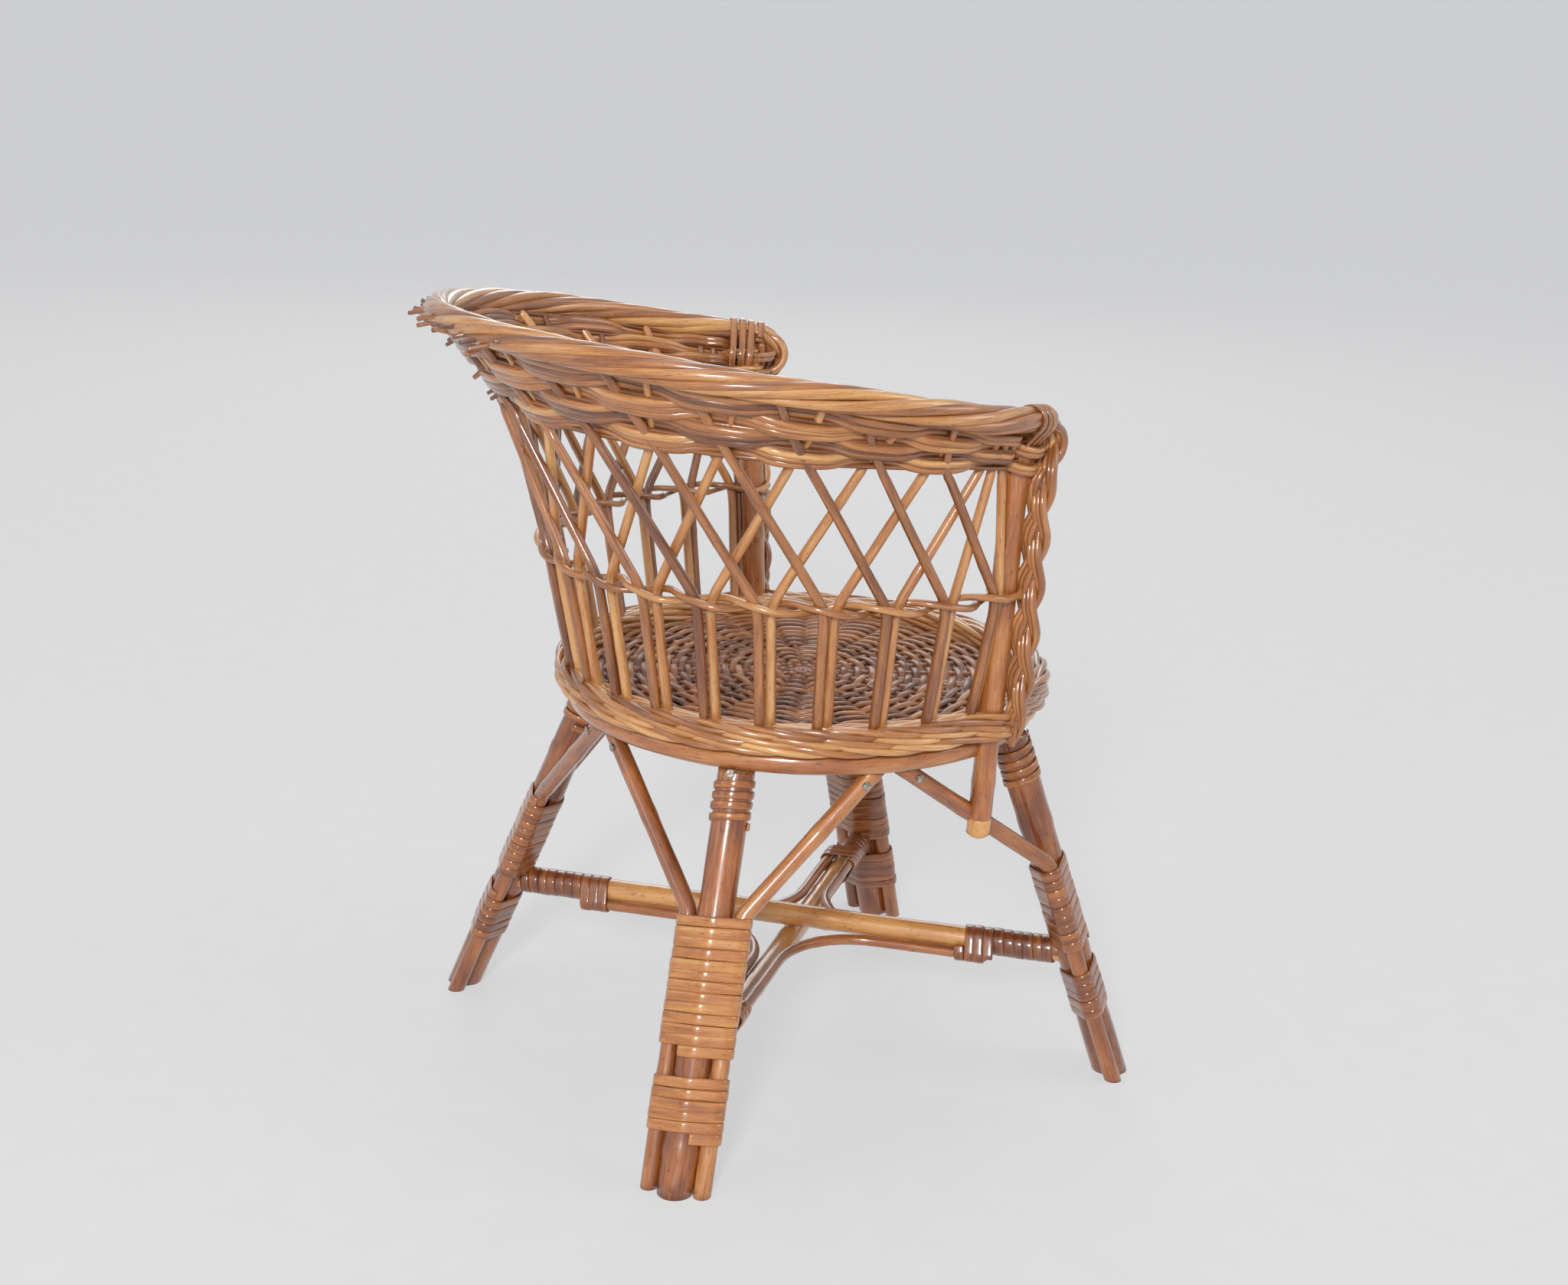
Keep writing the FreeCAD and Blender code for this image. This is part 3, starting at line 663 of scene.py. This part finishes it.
def make_hoop():
    """The bent stick that the seat is woven on."""
    strands = Strands()
    angle = np.linspace(0, 360, 260, endpoint=False)
    path = ring(HOOP_RADIUS + 0.3 * np.sin(np.radians(3 * angle)), angle, HOOP_HEIGHT)
    width = HOOP_DIA * (1 + 0.015 * np.sin(np.radians(7 * angle)) + 0.012 * np.sin(np.radians(17 * angle)))
    strands.add(path, width, face=UP, tone=0.6, sides=20, closed=True)
    strands.piece("seat_hoop_stick", stick_wood, "frame_stick", "seat_hoop")


RING_ANGLES = np.linspace(0, 360, 420, endpoint=False)


def waled_row(strands, radius, height, start):
    """A ring of rods laid round each other."""
    for index in range(WALE_RODS):
        turn = np.radians(WALE_WAVES * RING_ANGLES) + math.tau * index / WALE_RODS + start
        rise = 0.75 * WALE_TWIST * np.sin(turn)
        path = ring(radius + WALE_TWIST * np.cos(turn), RING_ANGLES, height + rise)
        shade = 0.62 + 0.34 * (rng.random() - 0.5)
        strands.add(path, WALE_ROD, face=ring(1, RING_ANGLES, 0), tone=shade, sides=8, closed=True)


def make_border():
    """Waled rows round the edge of the seat. The outer ones bulge round the posts."""
    strands = Strands()
    middle = (HOOP_OVER + BORDER_TOP) / 2
    post_angle = math.degrees(math.atan2(*POST_FOOT))
    from_rear = np.abs((RING_ANGLES + 180) % 360 - 180)
    round_posts = BORDER_BULGE * np.exp(-((from_rear - post_angle) / 4.5) ** 2)
    lowest = HOOP_OVER + 2.4
    rows = [(BORDER_OUTER - 4.6 + round_posts, lowest + WALE_STEP * step) for step in range(3)]
    rows += [(130.4, BORDER_TOP - 2.9), (125.6, BORDER_TOP - 3.4), (124.6, middle - 1.2)]
    rows += [(129.8, lowest), (125.2, lowest), (129.6, middle)]
    for index, (radius, height) in enumerate(rows):
        waled_row(strands, radius, height, 1.3 * index)
    strands.piece("seat_border_weave", weave_wood, "woven_willow", "seat_border")


def make_seat():
    """Round woven seat: rings of willow over and under radial sticks."""
    strands = Strands()
    for index in range(SPOKES):
        angle = 360 / SPOKES * index
        inner = LONG_SPOKE_START if index % 2 == 0 else SHORT_SPOKE_START
        ends = [ring(inner, angle, SEAT_LEVEL), ring(BORDER_INNER - 1, angle, SEAT_LEVEL)]
        path = resample(np.array(ends), 6)
        strands.add(path, SPOKE_WIDTH, SPOKE_THICK, tone=0.35 + 0.15 * rng.random(), sides=8)
    coil = np.linspace(0, 2.2 * 360, 90)
    strands.add(ring(1.2 + 4.6 * coil / coil[-1], coil, SEAT_LEVEL + 0.6), 3.2, 2.8, tone=0.5, sides=8)
    radius = SEAT_FIRST_ROW
    row = 0
    while radius < BORDER_INNER - 1.5:
        passes = SPOKES if radius > SHORT_SPOKE_START + 2 else SPOKES // 2
        angle = np.linspace(0, 360, passes * 10, endpoint=False)
        wave = np.cos(np.radians(angle * passes / 2) + math.pi * (row % 2))
        uneven = radius + 0.25 * np.sin(np.radians(angle * 3) + row)
        path = ring(uneven, angle, SEAT_LEVEL + SEAT_SWING * np.tanh(1.6 * wave))
        tone = 0.34 + 0.3 * rng.random()
        strands.add(path, SEAT_ROD_WIDTH, SEAT_ROD_THICK, tone=tone, sides=8, closed=True)
        between = ring(radius + SEAT_ROW_STEP / 2, angle[::4], SEAT_LEVEL - 0.4)
        strands.add(between, 3.8, 1.6, tone=0.3, sides=6, closed=True)
        radius += SEAT_ROW_STEP
        row += 1
    strands.piece("seat_panel_weave", seat_wood_painted_shade, "woven_willow", "seat_panel")


# Posts, stakes, waist, band, rim, braids and nails

def post_line(side):
    """A post's foot at the hoop, its head under the rim, and its direction."""
    foot = np.array([side * POST_FOOT[0], POST_FOOT[1], HOOP_HEIGHT])
    head = np.array([side * POST_HEAD[0], POST_HEAD[1], rim_line(RIM_END)[2] - RIM_DIA / 2 - CLEARANCE])
    return foot, head, unit(head - foot)


def rim_line(degrees):
    """The middle of the rolled rim, flared and raised at the rear."""
    bow = np.cos(np.radians(degrees))
    rise = np.where(bow > 0, RIM_REAR_RISE, RIM_FRONT_FALL) * bow
    return ring(RIM_RADIUS + RIM_FLARE * bow, degrees, RIM_HEIGHT + rise)


def band_line(degrees):
    """The lower edge of the woven band."""
    bow = np.cos(np.radians(degrees))
    rise = np.where(bow > 0, BAND_REAR_RISE, BAND_FRONT_FALL) * bow
    return ring(BAND_RADIUS + BAND_FLARE * bow, degrees, BAND_HEIGHT + rise)


def band_room(degrees):
    """Slope length of the band from its lower edge to the rolled rim."""
    return np.linalg.norm(rim_line(degrees) - band_line(degrees), axis=-1) - RIM_DIA / 2


def band_surface(degrees, up, out):
    """A point of the band: a distance up its slope from the lower edge, and out from its middle."""
    low = band_line(degrees)
    slope = unit(rim_line(degrees) - low)
    square = unit(np.cross(slope, ring(1, np.asarray(degrees) + 90, 0)))
    square = square * np.sign(np.sum(square * ring(1, degrees, 0), axis=-1, keepdims=True))
    return low + slope * np.asarray(up)[..., None] + square * np.asarray(out)[..., None], square


def make_posts():
    """Front posts from a stub below the hoop, bent into the rim at the top."""
    for side, name in ((-1, "right"), (1, "left")):
        foot, head, axis = post_line(side)
        into_rim = rim_line(side * POST_ANGLE) - UP * 3
        bend = head * 0.6 + into_rim * 0.4 - axis * 2
        bent = spline([head - axis * 32, head - axis * 16, bend, into_rim], 2)
        path = resample(np.vstack([foot - axis * POST_STUB, bent]), 3)
        width = np.interp(path[:, 2], [BORDER_TOP - 7, BORDER_TOP], [POST_STUB_DIA, POST_DIA])
        width = width * stick_width(path, 1.0)
        width = width * np.interp(path[:, 2], [into_rim[2] - 14, into_rim[2]], [1.0, 0.6])
        strands = Strands()
        strands.add(path, width, face=BACK, tone=0.58, sides=24)
        strands.add(path[:4], width[:4] * 1.02, face=BACK, tone=0.95, sides=24)
        strands.piece("post_%s_stick" % name, stick_wood, "frame_stick", "post_" + name)


def pair_angle(index):
    """Where a pair of stakes stands. Halves are the middles between pairs."""
    return STAKE_STEP * (index - (STAKE_PAIRS - 1) / 2)


def head_angle(index, lean):
    """Where a leaning stake reaches the band, kept clear of the posts."""
    post_angle = math.degrees(math.atan2(*POST_HEAD))
    farthest = post_angle - math.degrees((POST_DIA / 2 + STAKE_DIA + CLEARANCE) / BAND_RADIUS)
    beside = math.degrees(1.3 * STAKE_DIA / BAND_RADIUS)
    from_post = index if lean < 0 else STAKE_PAIRS - 1 - index
    return lean * min(farthest - from_post * beside, lean * pair_angle(index) + LATTICE_LEAN)


def make_stakes():
    """Pairs of stakes, upright to the waist and leaning past each other above it, up into the rim."""
    side_by_side = (STAKE_DIA + CLEARANCE) / 2
    for name, lean, tone in (("outer", 1, 0.37), ("inner", -1, 0.66)):
        strands = Strands()
        for index in range(STAKE_PAIRS):
            angle = pair_angle(index) + math.degrees(lean * side_by_side / WAIST_RADIUS)
            top_angle = head_angle(index, lean)
            radius = STAKE_FOOT_RADIUS + lean * side_by_side / 2
            slope = (WAIST_RADIUS + lean * WAIST_LAYER - radius) / (WAIST_HEIGHT - BORDER_TOP)
            root = ring(radius - slope * STAKE_ROOT, angle, BORDER_TOP - STAKE_ROOT)
            waist = ring(WAIST_RADIUS + lean * WAIST_LAYER, angle, WAIST_HEIGHT)
            entry = band_surface(top_angle, 1.0, lean * STAKE_LAYER * 0.8)[0]
            room = float(band_room(top_angle))
            drift = lean * np.interp(abs(top_angle), [70, 90], [4.5, 0.0])
            within = band_surface(top_angle + 0.6 * drift, room * 0.5, lean * 1.0)[0]
            top = band_surface(top_angle + drift, room + 3, lean * 0.5)[0]
            lower = rounded([root, waist, entry], STAKE_BEND, 3)
            upper = spline([lower[-3], entry, within, top], 3)
            path = np.vstack([lower[:-3], upper])
            width = np.linspace(STAKE_DIA * 1.04, STAKE_DIA * 0.86, len(path))
            width = width * stick_width(path, 1.0)
            bow = wobble(len(path), 1.2) * np.sin(np.linspace(0, math.pi, len(path))) ** 2
            path = path + 0.5 * bow[:, None] * ring(1, angle + 90, 0)
            depth = width * np.interp(path[:, 2], [entry[2] - 6, entry[2] + 4], [1.0, 0.7])
            shade = tone + 0.2 * (rng.random() - 0.5)
            strands.add(path, width, depth, face=ring(1, angle, 0), tone=shade, sides=12)
        strands.piece("stakes_%s_rods" % name, stake_wood, "stake_willow", "stakes_" + name)


def make_waist():
    """Two strands that change places between the pairs of stakes and loop round the posts."""
    half = pair_angle(STAKE_PAIRS - 1)
    foot, _, axis = post_line(1)
    centre = foot + axis * (WAIST_HEIGHT - HOOP_HEIGHT) / axis[2]
    post_angle = math.degrees(math.atan2(centre[0], centre[1]))
    post_radius = math.hypot(centre[0], centre[1])
    angle = np.concatenate([np.linspace(-post_angle, -half, 12, endpoint=False),
                            np.linspace(-half, half, 500),
                            np.linspace(half, post_angle, 12)[1:]])
    turn = np.pi * (np.clip(angle, -half, half) + half) / STAKE_STEP
    past_stakes = WAIST_LAYER + (STAKE_DIA + WAIST_STRAND) / 2 - 1.0
    past_post = (POST_DIA + WAIST_STRAND) / 2
    reach = np.interp(np.abs(angle), [half, post_angle], [past_stakes, past_post])
    wall = np.interp(np.abs(angle), [half, post_angle], [WAIST_RADIUS, post_radius])
    for name, start, tone in (("outer", 0.0, 0.66), ("inner", math.pi, 0.5)):
        strands = Strands()
        squared = np.tanh(1.1 * np.cos(turn + start)) / math.tanh(1.1)
        path = ring(wall + reach * squared, angle, WAIST_HEIGHT + WAIST_CROSS * np.sin(turn + start))
        ends = []
        for side in (-1, 1):
            middle = centre * [side, 1, 1]
            inner = 1 if squared[0 if side < 0 else -1] < 0 else -1
            loop = np.linspace(0, math.pi, 16)[:, None]
            radial, forward = ring(1, side * post_angle, 0), ring(1, side * (post_angle + 90), 0)
            ends.append(middle - inner * radial * past_post * np.cos(loop)
                        + forward * past_post * np.sin(loop)
                        - inner * UP * (WAIST_CROSS * np.sin(loop)))
        path = np.vstack([ends[0][:0:-1], path, ends[1][1:]])
        strands.add(path, WAIST_STRAND, WAIST_STRAND * 0.85, face=UP, tone=tone, sides=10)
        strands.piece("waist_%s_strand" % name, weave_wood, "woven_willow", "waist_" + name)


def weave_groups():
    """Angles of the stakes in the band, in groups that a weaver passes in front of or behind."""
    middles = [pair_angle(index + 0.5) for index in range(STAKE_PAIRS - 1)]
    return np.array([-POST_ANGLE] + middles + [POST_ANGLE])


def make_band():
    """Rows of two rods, and three at the rear, woven in front of and behind the stakes."""
    strands = Strands()
    groups = weave_groups()
    angle = np.linspace(-POST_ANGLE, POST_ANGLE, 680)
    height = band_room(angle) / BAND_ROWS
    index = np.interp(angle, groups, np.arange(len(groups)))
    last_gap = [groups[-2], POST_ANGLE]
    past_post = (POST_DIA + BAND_THICK) / 2 - 0.4
    reach = np.interp(np.abs(angle), last_gap, [BAND_SWING, past_post])
    inset = np.interp(np.abs(angle), last_gap, [0.0, -POST_INSET])
    for row in range(BAND_ROWS + 1):
        level = np.clip(height * row, 1.0, None)
        path, square = band_surface(angle, level + 0.2 * wobble(len(angle), 9), 0 * angle)
        strands.add(path, BAND_FILL, BAND_FILL, face=square, tone=0.36, sides=6)
    widen = np.clip((88 - np.abs(angle)) / 40, 0, 1)
    widen = widen * widen * (3 - 2 * widen)
    for row in range(BAND_ROWS):
        wave = np.tanh(1.6 * np.cos(np.pi * (index + row))) / math.tanh(1.6)
        rods = ((0.25 - 0.083 * widen, 0.5 - 0.167 * widen), (0.75 + 0.083 * widen, 0.5 - 0.167 * widen),
                (0.5 + 0 * widen, 0.333 * widen))
        for share, size in rods:
            kept = size > 0.03
            whole = bool(kept.all())
            places = angle[kept]
            rise = (height * (row + share))[kept] + 0.3 * wobble(len(places), 11)
            out = (reach * wave + inset)[kept] + 0.25 * wobble(len(places), 13)
            path, square = band_surface(places, rise, out)
            width = (height * size)[kept] * BAND_CROWD * (1 + 0.06 * wobble(len(places), 15))
            depth = BAND_THICK * np.clip(size[kept] * 4, 0.2, 1)
            if whole:
                before = len(path)
                path, square = loop_round_posts(path, square, wave)
                width = np.pad(width, (len(path) - before) // 2, mode="edge")
                depth = np.pad(depth, (len(path) - before) // 2, mode="edge")
            tone = 0.53 + 0.46 * (rng.random() - 0.5)
            strands.add(path, width, depth, face=square, tone=tone, sides=10, power=0.85)
    strands.piece("woven_band_rods", weave_wood, "woven_willow", "woven_band")


def loop_round_posts(path, square, wave):
    """Carry a weaver round the front of both posts."""
    joined, faces = path, square
    for side in (-1, 1):
        end = path[0] if side < 0 else path[-1]
        sign = np.sign(wave[0 if side < 0 else -1])
        foot, _, axis = post_line(side)
        middle = foot + axis * (end[2] - HOOP_HEIGHT) / axis[2]
        start = (end - middle) * [1, 1, 0]
        size = float(np.linalg.norm(start))
        start = start / size
        onward = np.cross(UP, start) * side * -sign
        loop = np.linspace(0, math.pi * 0.95, 17)[1:]
        outward = start * np.cos(loop)[:, None] + onward * np.sin(loop)[:, None]
        arc = middle + outward * size
        arc[:, 2] = end[2]
        if side < 0:
            joined, faces = np.vstack([arc[::-1], joined]), np.vstack([sign * outward[::-1], faces])
        else:
            joined, faces = np.vstack([joined, arc]), np.vstack([faces, sign * outward])
    return joined, faces


def lay_rope(strands, curls):
    """The long rods of the rim, laid round each other and drawn closer in the curls at both ends."""
    arms = rim_line(np.linspace(-RIM_END, RIM_END, 420))
    centre = resample(np.vstack([curls[0][::-1], arms, curls[1]]), 1.8)
    _, across, normal = frames(centre, centre * [1, 1, 0], False)
    run = run_along(centre)
    from_end = np.minimum(run, run[-1] - run)
    close = np.interp(from_end, [0, 30, 48, 80], [0.35, 0.7, 0.86, 1.0])
    for index in range(ROPE_RODS):
        turn = math.tau * (run / ROPE_LAY + index / ROPE_RODS) + 0.25 * wobble(len(run), 3)
        reach = ROPE_REACH * close * (1 + 0.08 * wobble(len(run), 5))
        out = across * np.cos(turn)[:, None] + normal * np.sin(turn)[:, None]
        width = ROPE_ROD * close * (1 + 0.08 * wobble(len(run), 6))
        tone = 0.56 + 0.42 * (rng.random() - 0.5)
        strands.add(centre + out * reach[:, None], width, width * 0.86, face=out, tone=tone, sides=10)
    strands.add(centre, ROPE_ROD * close, face=normal, tone=0.4, sides=8)


def lash_to_post(strands, side, curl):
    """A strap round the rim and the post's head, and rods that fill the curl in front of the post."""
    foot, head, axis = post_line(side)
    start = rim_line(side * (POST_ANGLE - 3.4))
    onward = unit(rim_line(side * (POST_ANGLE + 3)) - start)
    beside = unit(np.cross(UP, onward))
    below = np.cross(onward, beside)
    post_head = head - axis * 4 - rim_line(side * POST_ANGLE)
    outline = outline_of((0, 0, ROPE_REACH * 0.9 + ROPE_ROD * 0.4),
                         (post_head @ beside, post_head @ below, POST_DIA / 2))
    strap(strands, start, onward, beside, outline, LASH_TURNS, 0.5, TOP_STRAP_WIDTH)
    within_post = foot + axis * ((curl[:, 2:] - foot[2]) / axis[2])
    for share in (0.3, 0.58):
        strands.add(curl + (within_post - curl) * share, CURL_FILL, face=beside, tone=0.45, sides=8)


def trimmed_tip(strands, path, thick, tone):
    """The cut end of a rod, thinner towards its tip."""
    width = np.linspace(thick, thick * TIP_TAPER, len(path))
    strands.add(path, width, face=UP, tone=tone, sides=8)


def add_tips(strands):
    """Trimmed rod ends that stand out at the rear, on the rim and then on the band."""
    for place in np.arange(-14, 56, 2.2):
        place = place + 4.0 * (rng.random() - 0.5)
        start = rim_line(place) + ring(3, place, 0) + UP * (2.0 - 7.5 * rng.random())
        aside = ring(1, place + 90, 0) * (0.2 + 1.1 * rng.random())
        way = unit(ring(1, place, 0) + aside + UP * (0.25 - 0.8 * rng.random()))
        length = 6.5 + 6.5 * rng.random()
        path = spline([start - way * 8 - UP * 2, start, start + way * length], 2)
        thick = 2.5 + 1.2 * rng.random()
        trimmed_tip(strands, path, thick, 0.22 + 0.3 * rng.random())
    for place in np.arange(8, 62, 3.0):
        place = place + 3.0 * (rng.random() - 0.5)
        up = float(band_room(place)) * (0.12 + 0.8 * rng.random())
        start, outward = band_surface(place, up, 1.5)
        aside = ring(1, place + 90, 0) * (0.5 + 0.8 * rng.random())
        way = unit(outward + aside - UP * 0.3 * rng.random())
        path = spline([start - way * 5, start, start + way * (4.5 + 3.5 * rng.random())], 2)
        thick = 2.4 + rng.random()
        trimmed_tip(strands, path, thick, 0.2 + 0.3 * rng.random())


def make_rim():
    """Rolled rim, lashed to the posts, with trimmed ends at the rear."""
    strands = Strands()
    curls = [braid_path(side)[RIM_CURL] for side in (-1, 1)]
    lay_rope(strands, curls)
    for side, curl in zip((-1, 1), curls):
        lash_to_post(strands, side, curl)
    add_tips(strands)
    strands.piece("rolled_rim_rods", weave_wood, "rim_willow", "rolled_rim")


def braid_path(side):
    """Out of the end of the rim, curling over and down the front of the post."""
    foot, head, axis = post_line(side)
    forward = 0.8 * ring(1, side * POST_ANGLE, 0) + 0.6 * ring(1, side * (POST_ANGLE + 90), 0)
    offset = (POST_DIA + BRAID_DIA) / 2 + CLEARANCE
    end = rim_line(side * RIM_END)
    onward = unit(end - rim_line(side * (RIM_END - 3)))
    down = foot + axis * ((BORDER_TOP + 6 - foot[2]) / axis[2]) + forward * offset
    tail = foot + axis * 2 + forward * (offset - 1)
    top = head + forward * offset
    curl = [rim_line(side * (RIM_END - 3)), end + UP, end + onward * 8 - UP * 4.5,
            end + onward * 8.5 - UP * 16]
    return spline(curl + [top - axis * 26, (top + down) / 2, down, tail], 1.5)


def make_braids():
    """Braids of three flat strands, each of three thin rods, that taper to a tail."""
    for side, name in ((-1, "right"), (1, "left")):
        strands = Strands()
        path = braid_path(side)
        _, across, normal = frames(path, ring(1, side * POST_ANGLE, 0), False)
        run = run_along(path)
        size = np.interp(run / run[-1], [0, 0.06, 0.88, 1], [0.8, 1.0, 1.0, 0.42])
        strands.add(path, BRAID_CORE * size, tone=0.3, face=normal, sides=8)
        for index in range(3):
            turn = math.tau * (run / BRAID_LAY + index / 3)
            aside = BRAID_REACH * size * np.sin(turn)
            lift = BRAID_LIFT * size * np.sin(2 * turn)
            strand = path + normal * aside[:, None] + across * lift[:, None]
            flat = frames(strand, across, False)[1]
            tone = 0.6 + 0.2 * (rng.random() - 0.5)
            for rod in (-1, 0, 1):
                place = strand + flat * (BRAID_ROD_STEP * rod * size)[:, None]
                shade = tone + 0.24 * (rng.random() - 0.5)
                width, depth = BRAID_ROD_WIDTH * size, BRAID_ROD_DEPTH * size
                strands.add(place, width, depth, face=across, tone=shade, sides=10)
        strands.piece("braid_%s_plait" % name, weave_wood, "rim_willow", "braid_" + name)


def dress_nails():
    """The nail heads are shown as the solids are, in metal."""
    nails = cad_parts["brace_nails"].data
    nails.materials.clear()
    nails.materials.append(nail_metal())


# Stage, in metres

STUDIO_PALE = (0.93, 0.94, 0.96, 1.0)
FLOOR_REACH = 60.0
FLOOR_GLOW = 0.8
FLOOR_GLOW_SHARE = 0.7
WORLD_LIGHT = 0.36
WORLD_SEEN = 0.66
LAMP_AIM = (0.0, 0.0, 0.22)
LAMPS = {
    "key": ((-2.16, 1.71, 1.53), 0.5, 60.0),
    "rear": ((0.5, 2.6, 1.5), 1.6, 8.0),
    "right": ((-1.6, -2.2, 1.7), 1.6, 16.0),
    "left": ((2.4, -1.2, 1.7), 1.6, 16.0),
    "top": ((0.3, -0.2, 2.4), 1.6, 6.0),
}


def make_camera():
    """A camera behind the chair's right side, a little above it."""
    forward = Vector((0.82824, -0.48639, -0.27828))
    place = Vector((-1.044906, 0.626157, 0.588111)) + Vector(SEAT_MIDDLE)
    down = Vector((-0.25902, 0.10806, -0.95981))
    right = down.cross(forward)
    camera = bpy.data.cameras.new("camera")
    camera.lens = 51.85
    camera.sensor_width = 36.0
    camera.sensor_fit = "HORIZONTAL"
    obj = bpy.data.objects.new("camera", camera)
    basis = Matrix((right, -down, -forward)).transposed().to_4x4()
    obj.matrix_world = Matrix.Translation(place) @ basis
    bpy.context.scene.collection.objects.link(obj)
    bpy.context.scene.camera = obj


def make_light(name, place, size, power):
    """A round soft lamp that points at the chair."""
    light = bpy.data.lights.new(name, "AREA")
    light.shape = "DISK"
    light.size = size
    light.energy = power
    obj = bpy.data.objects.new(name, light)
    obj.location = place
    obj.rotation_euler = (Vector(LAMP_AIM) - Vector(place)).to_track_quat("-Z", "Y").to_euler()
    bpy.context.scene.collection.objects.link(obj)


def seen_plainly(tree):
    """1 for rays from the camera, off gloss or through glass, and 0 for light that falls on the chair."""
    rays = tree.nodes.new("ShaderNodeLightPath").outputs
    seen = rays["Is Camera Ray"]
    for kind in ("Is Glossy Ray", "Is Transmission Ray"):
        either = tree.nodes.new("ShaderNodeMath")
        either.operation = "MAXIMUM"
        tree.links.new(seen, either.inputs[0])
        tree.links.new(rays[kind], either.inputs[1])
        seen = either.outputs["Value"]
    return seen


def make_floor():
    """Pale paper floor, to the eye mostly its own pale tone, so that it is even and keeps the shadow."""
    graph = Graph("floor_paper")
    place = graph.node("NewGeometry").outputs["Position"]
    mottle = graph.noise(place, 40.0, 4.0)
    shade = graph.ramp(mottle, [(0.3, colour(226, 223, 220)), (0.7, colour(232, 229, 226))])
    graph.link(shade, graph.shader.inputs["Base Color"])
    graph.shader.inputs["Roughness"].default_value = 0.85
    pale = graph.node("Emission")
    pale.inputs["Color"].default_value = STUDIO_PALE
    pale.inputs["Strength"].default_value = FLOOR_GLOW
    share = graph.math("MULTIPLY", seen_plainly(graph.tree), FLOOR_GLOW_SHARE)
    mix = graph.node("MixShader")
    graph.link(share, mix.inputs["Fac"])
    graph.link(graph.shader.outputs["BSDF"], mix.inputs[1])
    graph.link(pale.outputs["Emission"], mix.inputs[2])
    graph.link(mix.outputs["Shader"], graph.tree.nodes["Material Output"].inputs["Surface"])
    mesh = bpy.data.meshes.new("floor")
    corners = [(FLOOR_REACH * x, FLOOR_REACH * y, 0) for x, y in ((-1, -1), (1, -1), (1, 1), (-1, 1))]
    mesh.from_pydata(corners, [], [(0, 1, 2, 3)])
    mesh.materials.append(graph.material)
    floor = bpy.data.objects.new("floor", mesh)
    bpy.context.scene.collection.objects.link(floor)


def make_stage():
    """Floor, pale studio world and lamps."""
    make_floor()
    world = bpy.data.worlds.new("studio")
    world.use_nodes = True
    tree = world.node_tree
    tree.nodes["Background"].inputs["Color"].default_value = STUDIO_PALE
    seen = tree.nodes.new("ShaderNodeMapRange")
    seen.inputs["To Min"].default_value = WORLD_LIGHT
    seen.inputs["To Max"].default_value = WORLD_SEEN
    tree.links.new(seen_plainly(tree), seen.inputs["Value"])
    tree.links.new(seen.outputs["Result"], tree.nodes["Background"].inputs["Strength"])
    bpy.context.scene.world = world
    bpy.context.scene.view_settings.view_transform = "Standard"
    for name, lamp in LAMPS.items():
        make_light(name, *lamp)


make_camera()
make_legs()
make_braces()
make_stretchers()
make_ties()
make_bindings()
make_hoop()
make_border()
make_seat()
make_posts()
make_stakes()
make_waist()
make_band()
make_rim()
make_braids()
dress_nails()
make_stage()
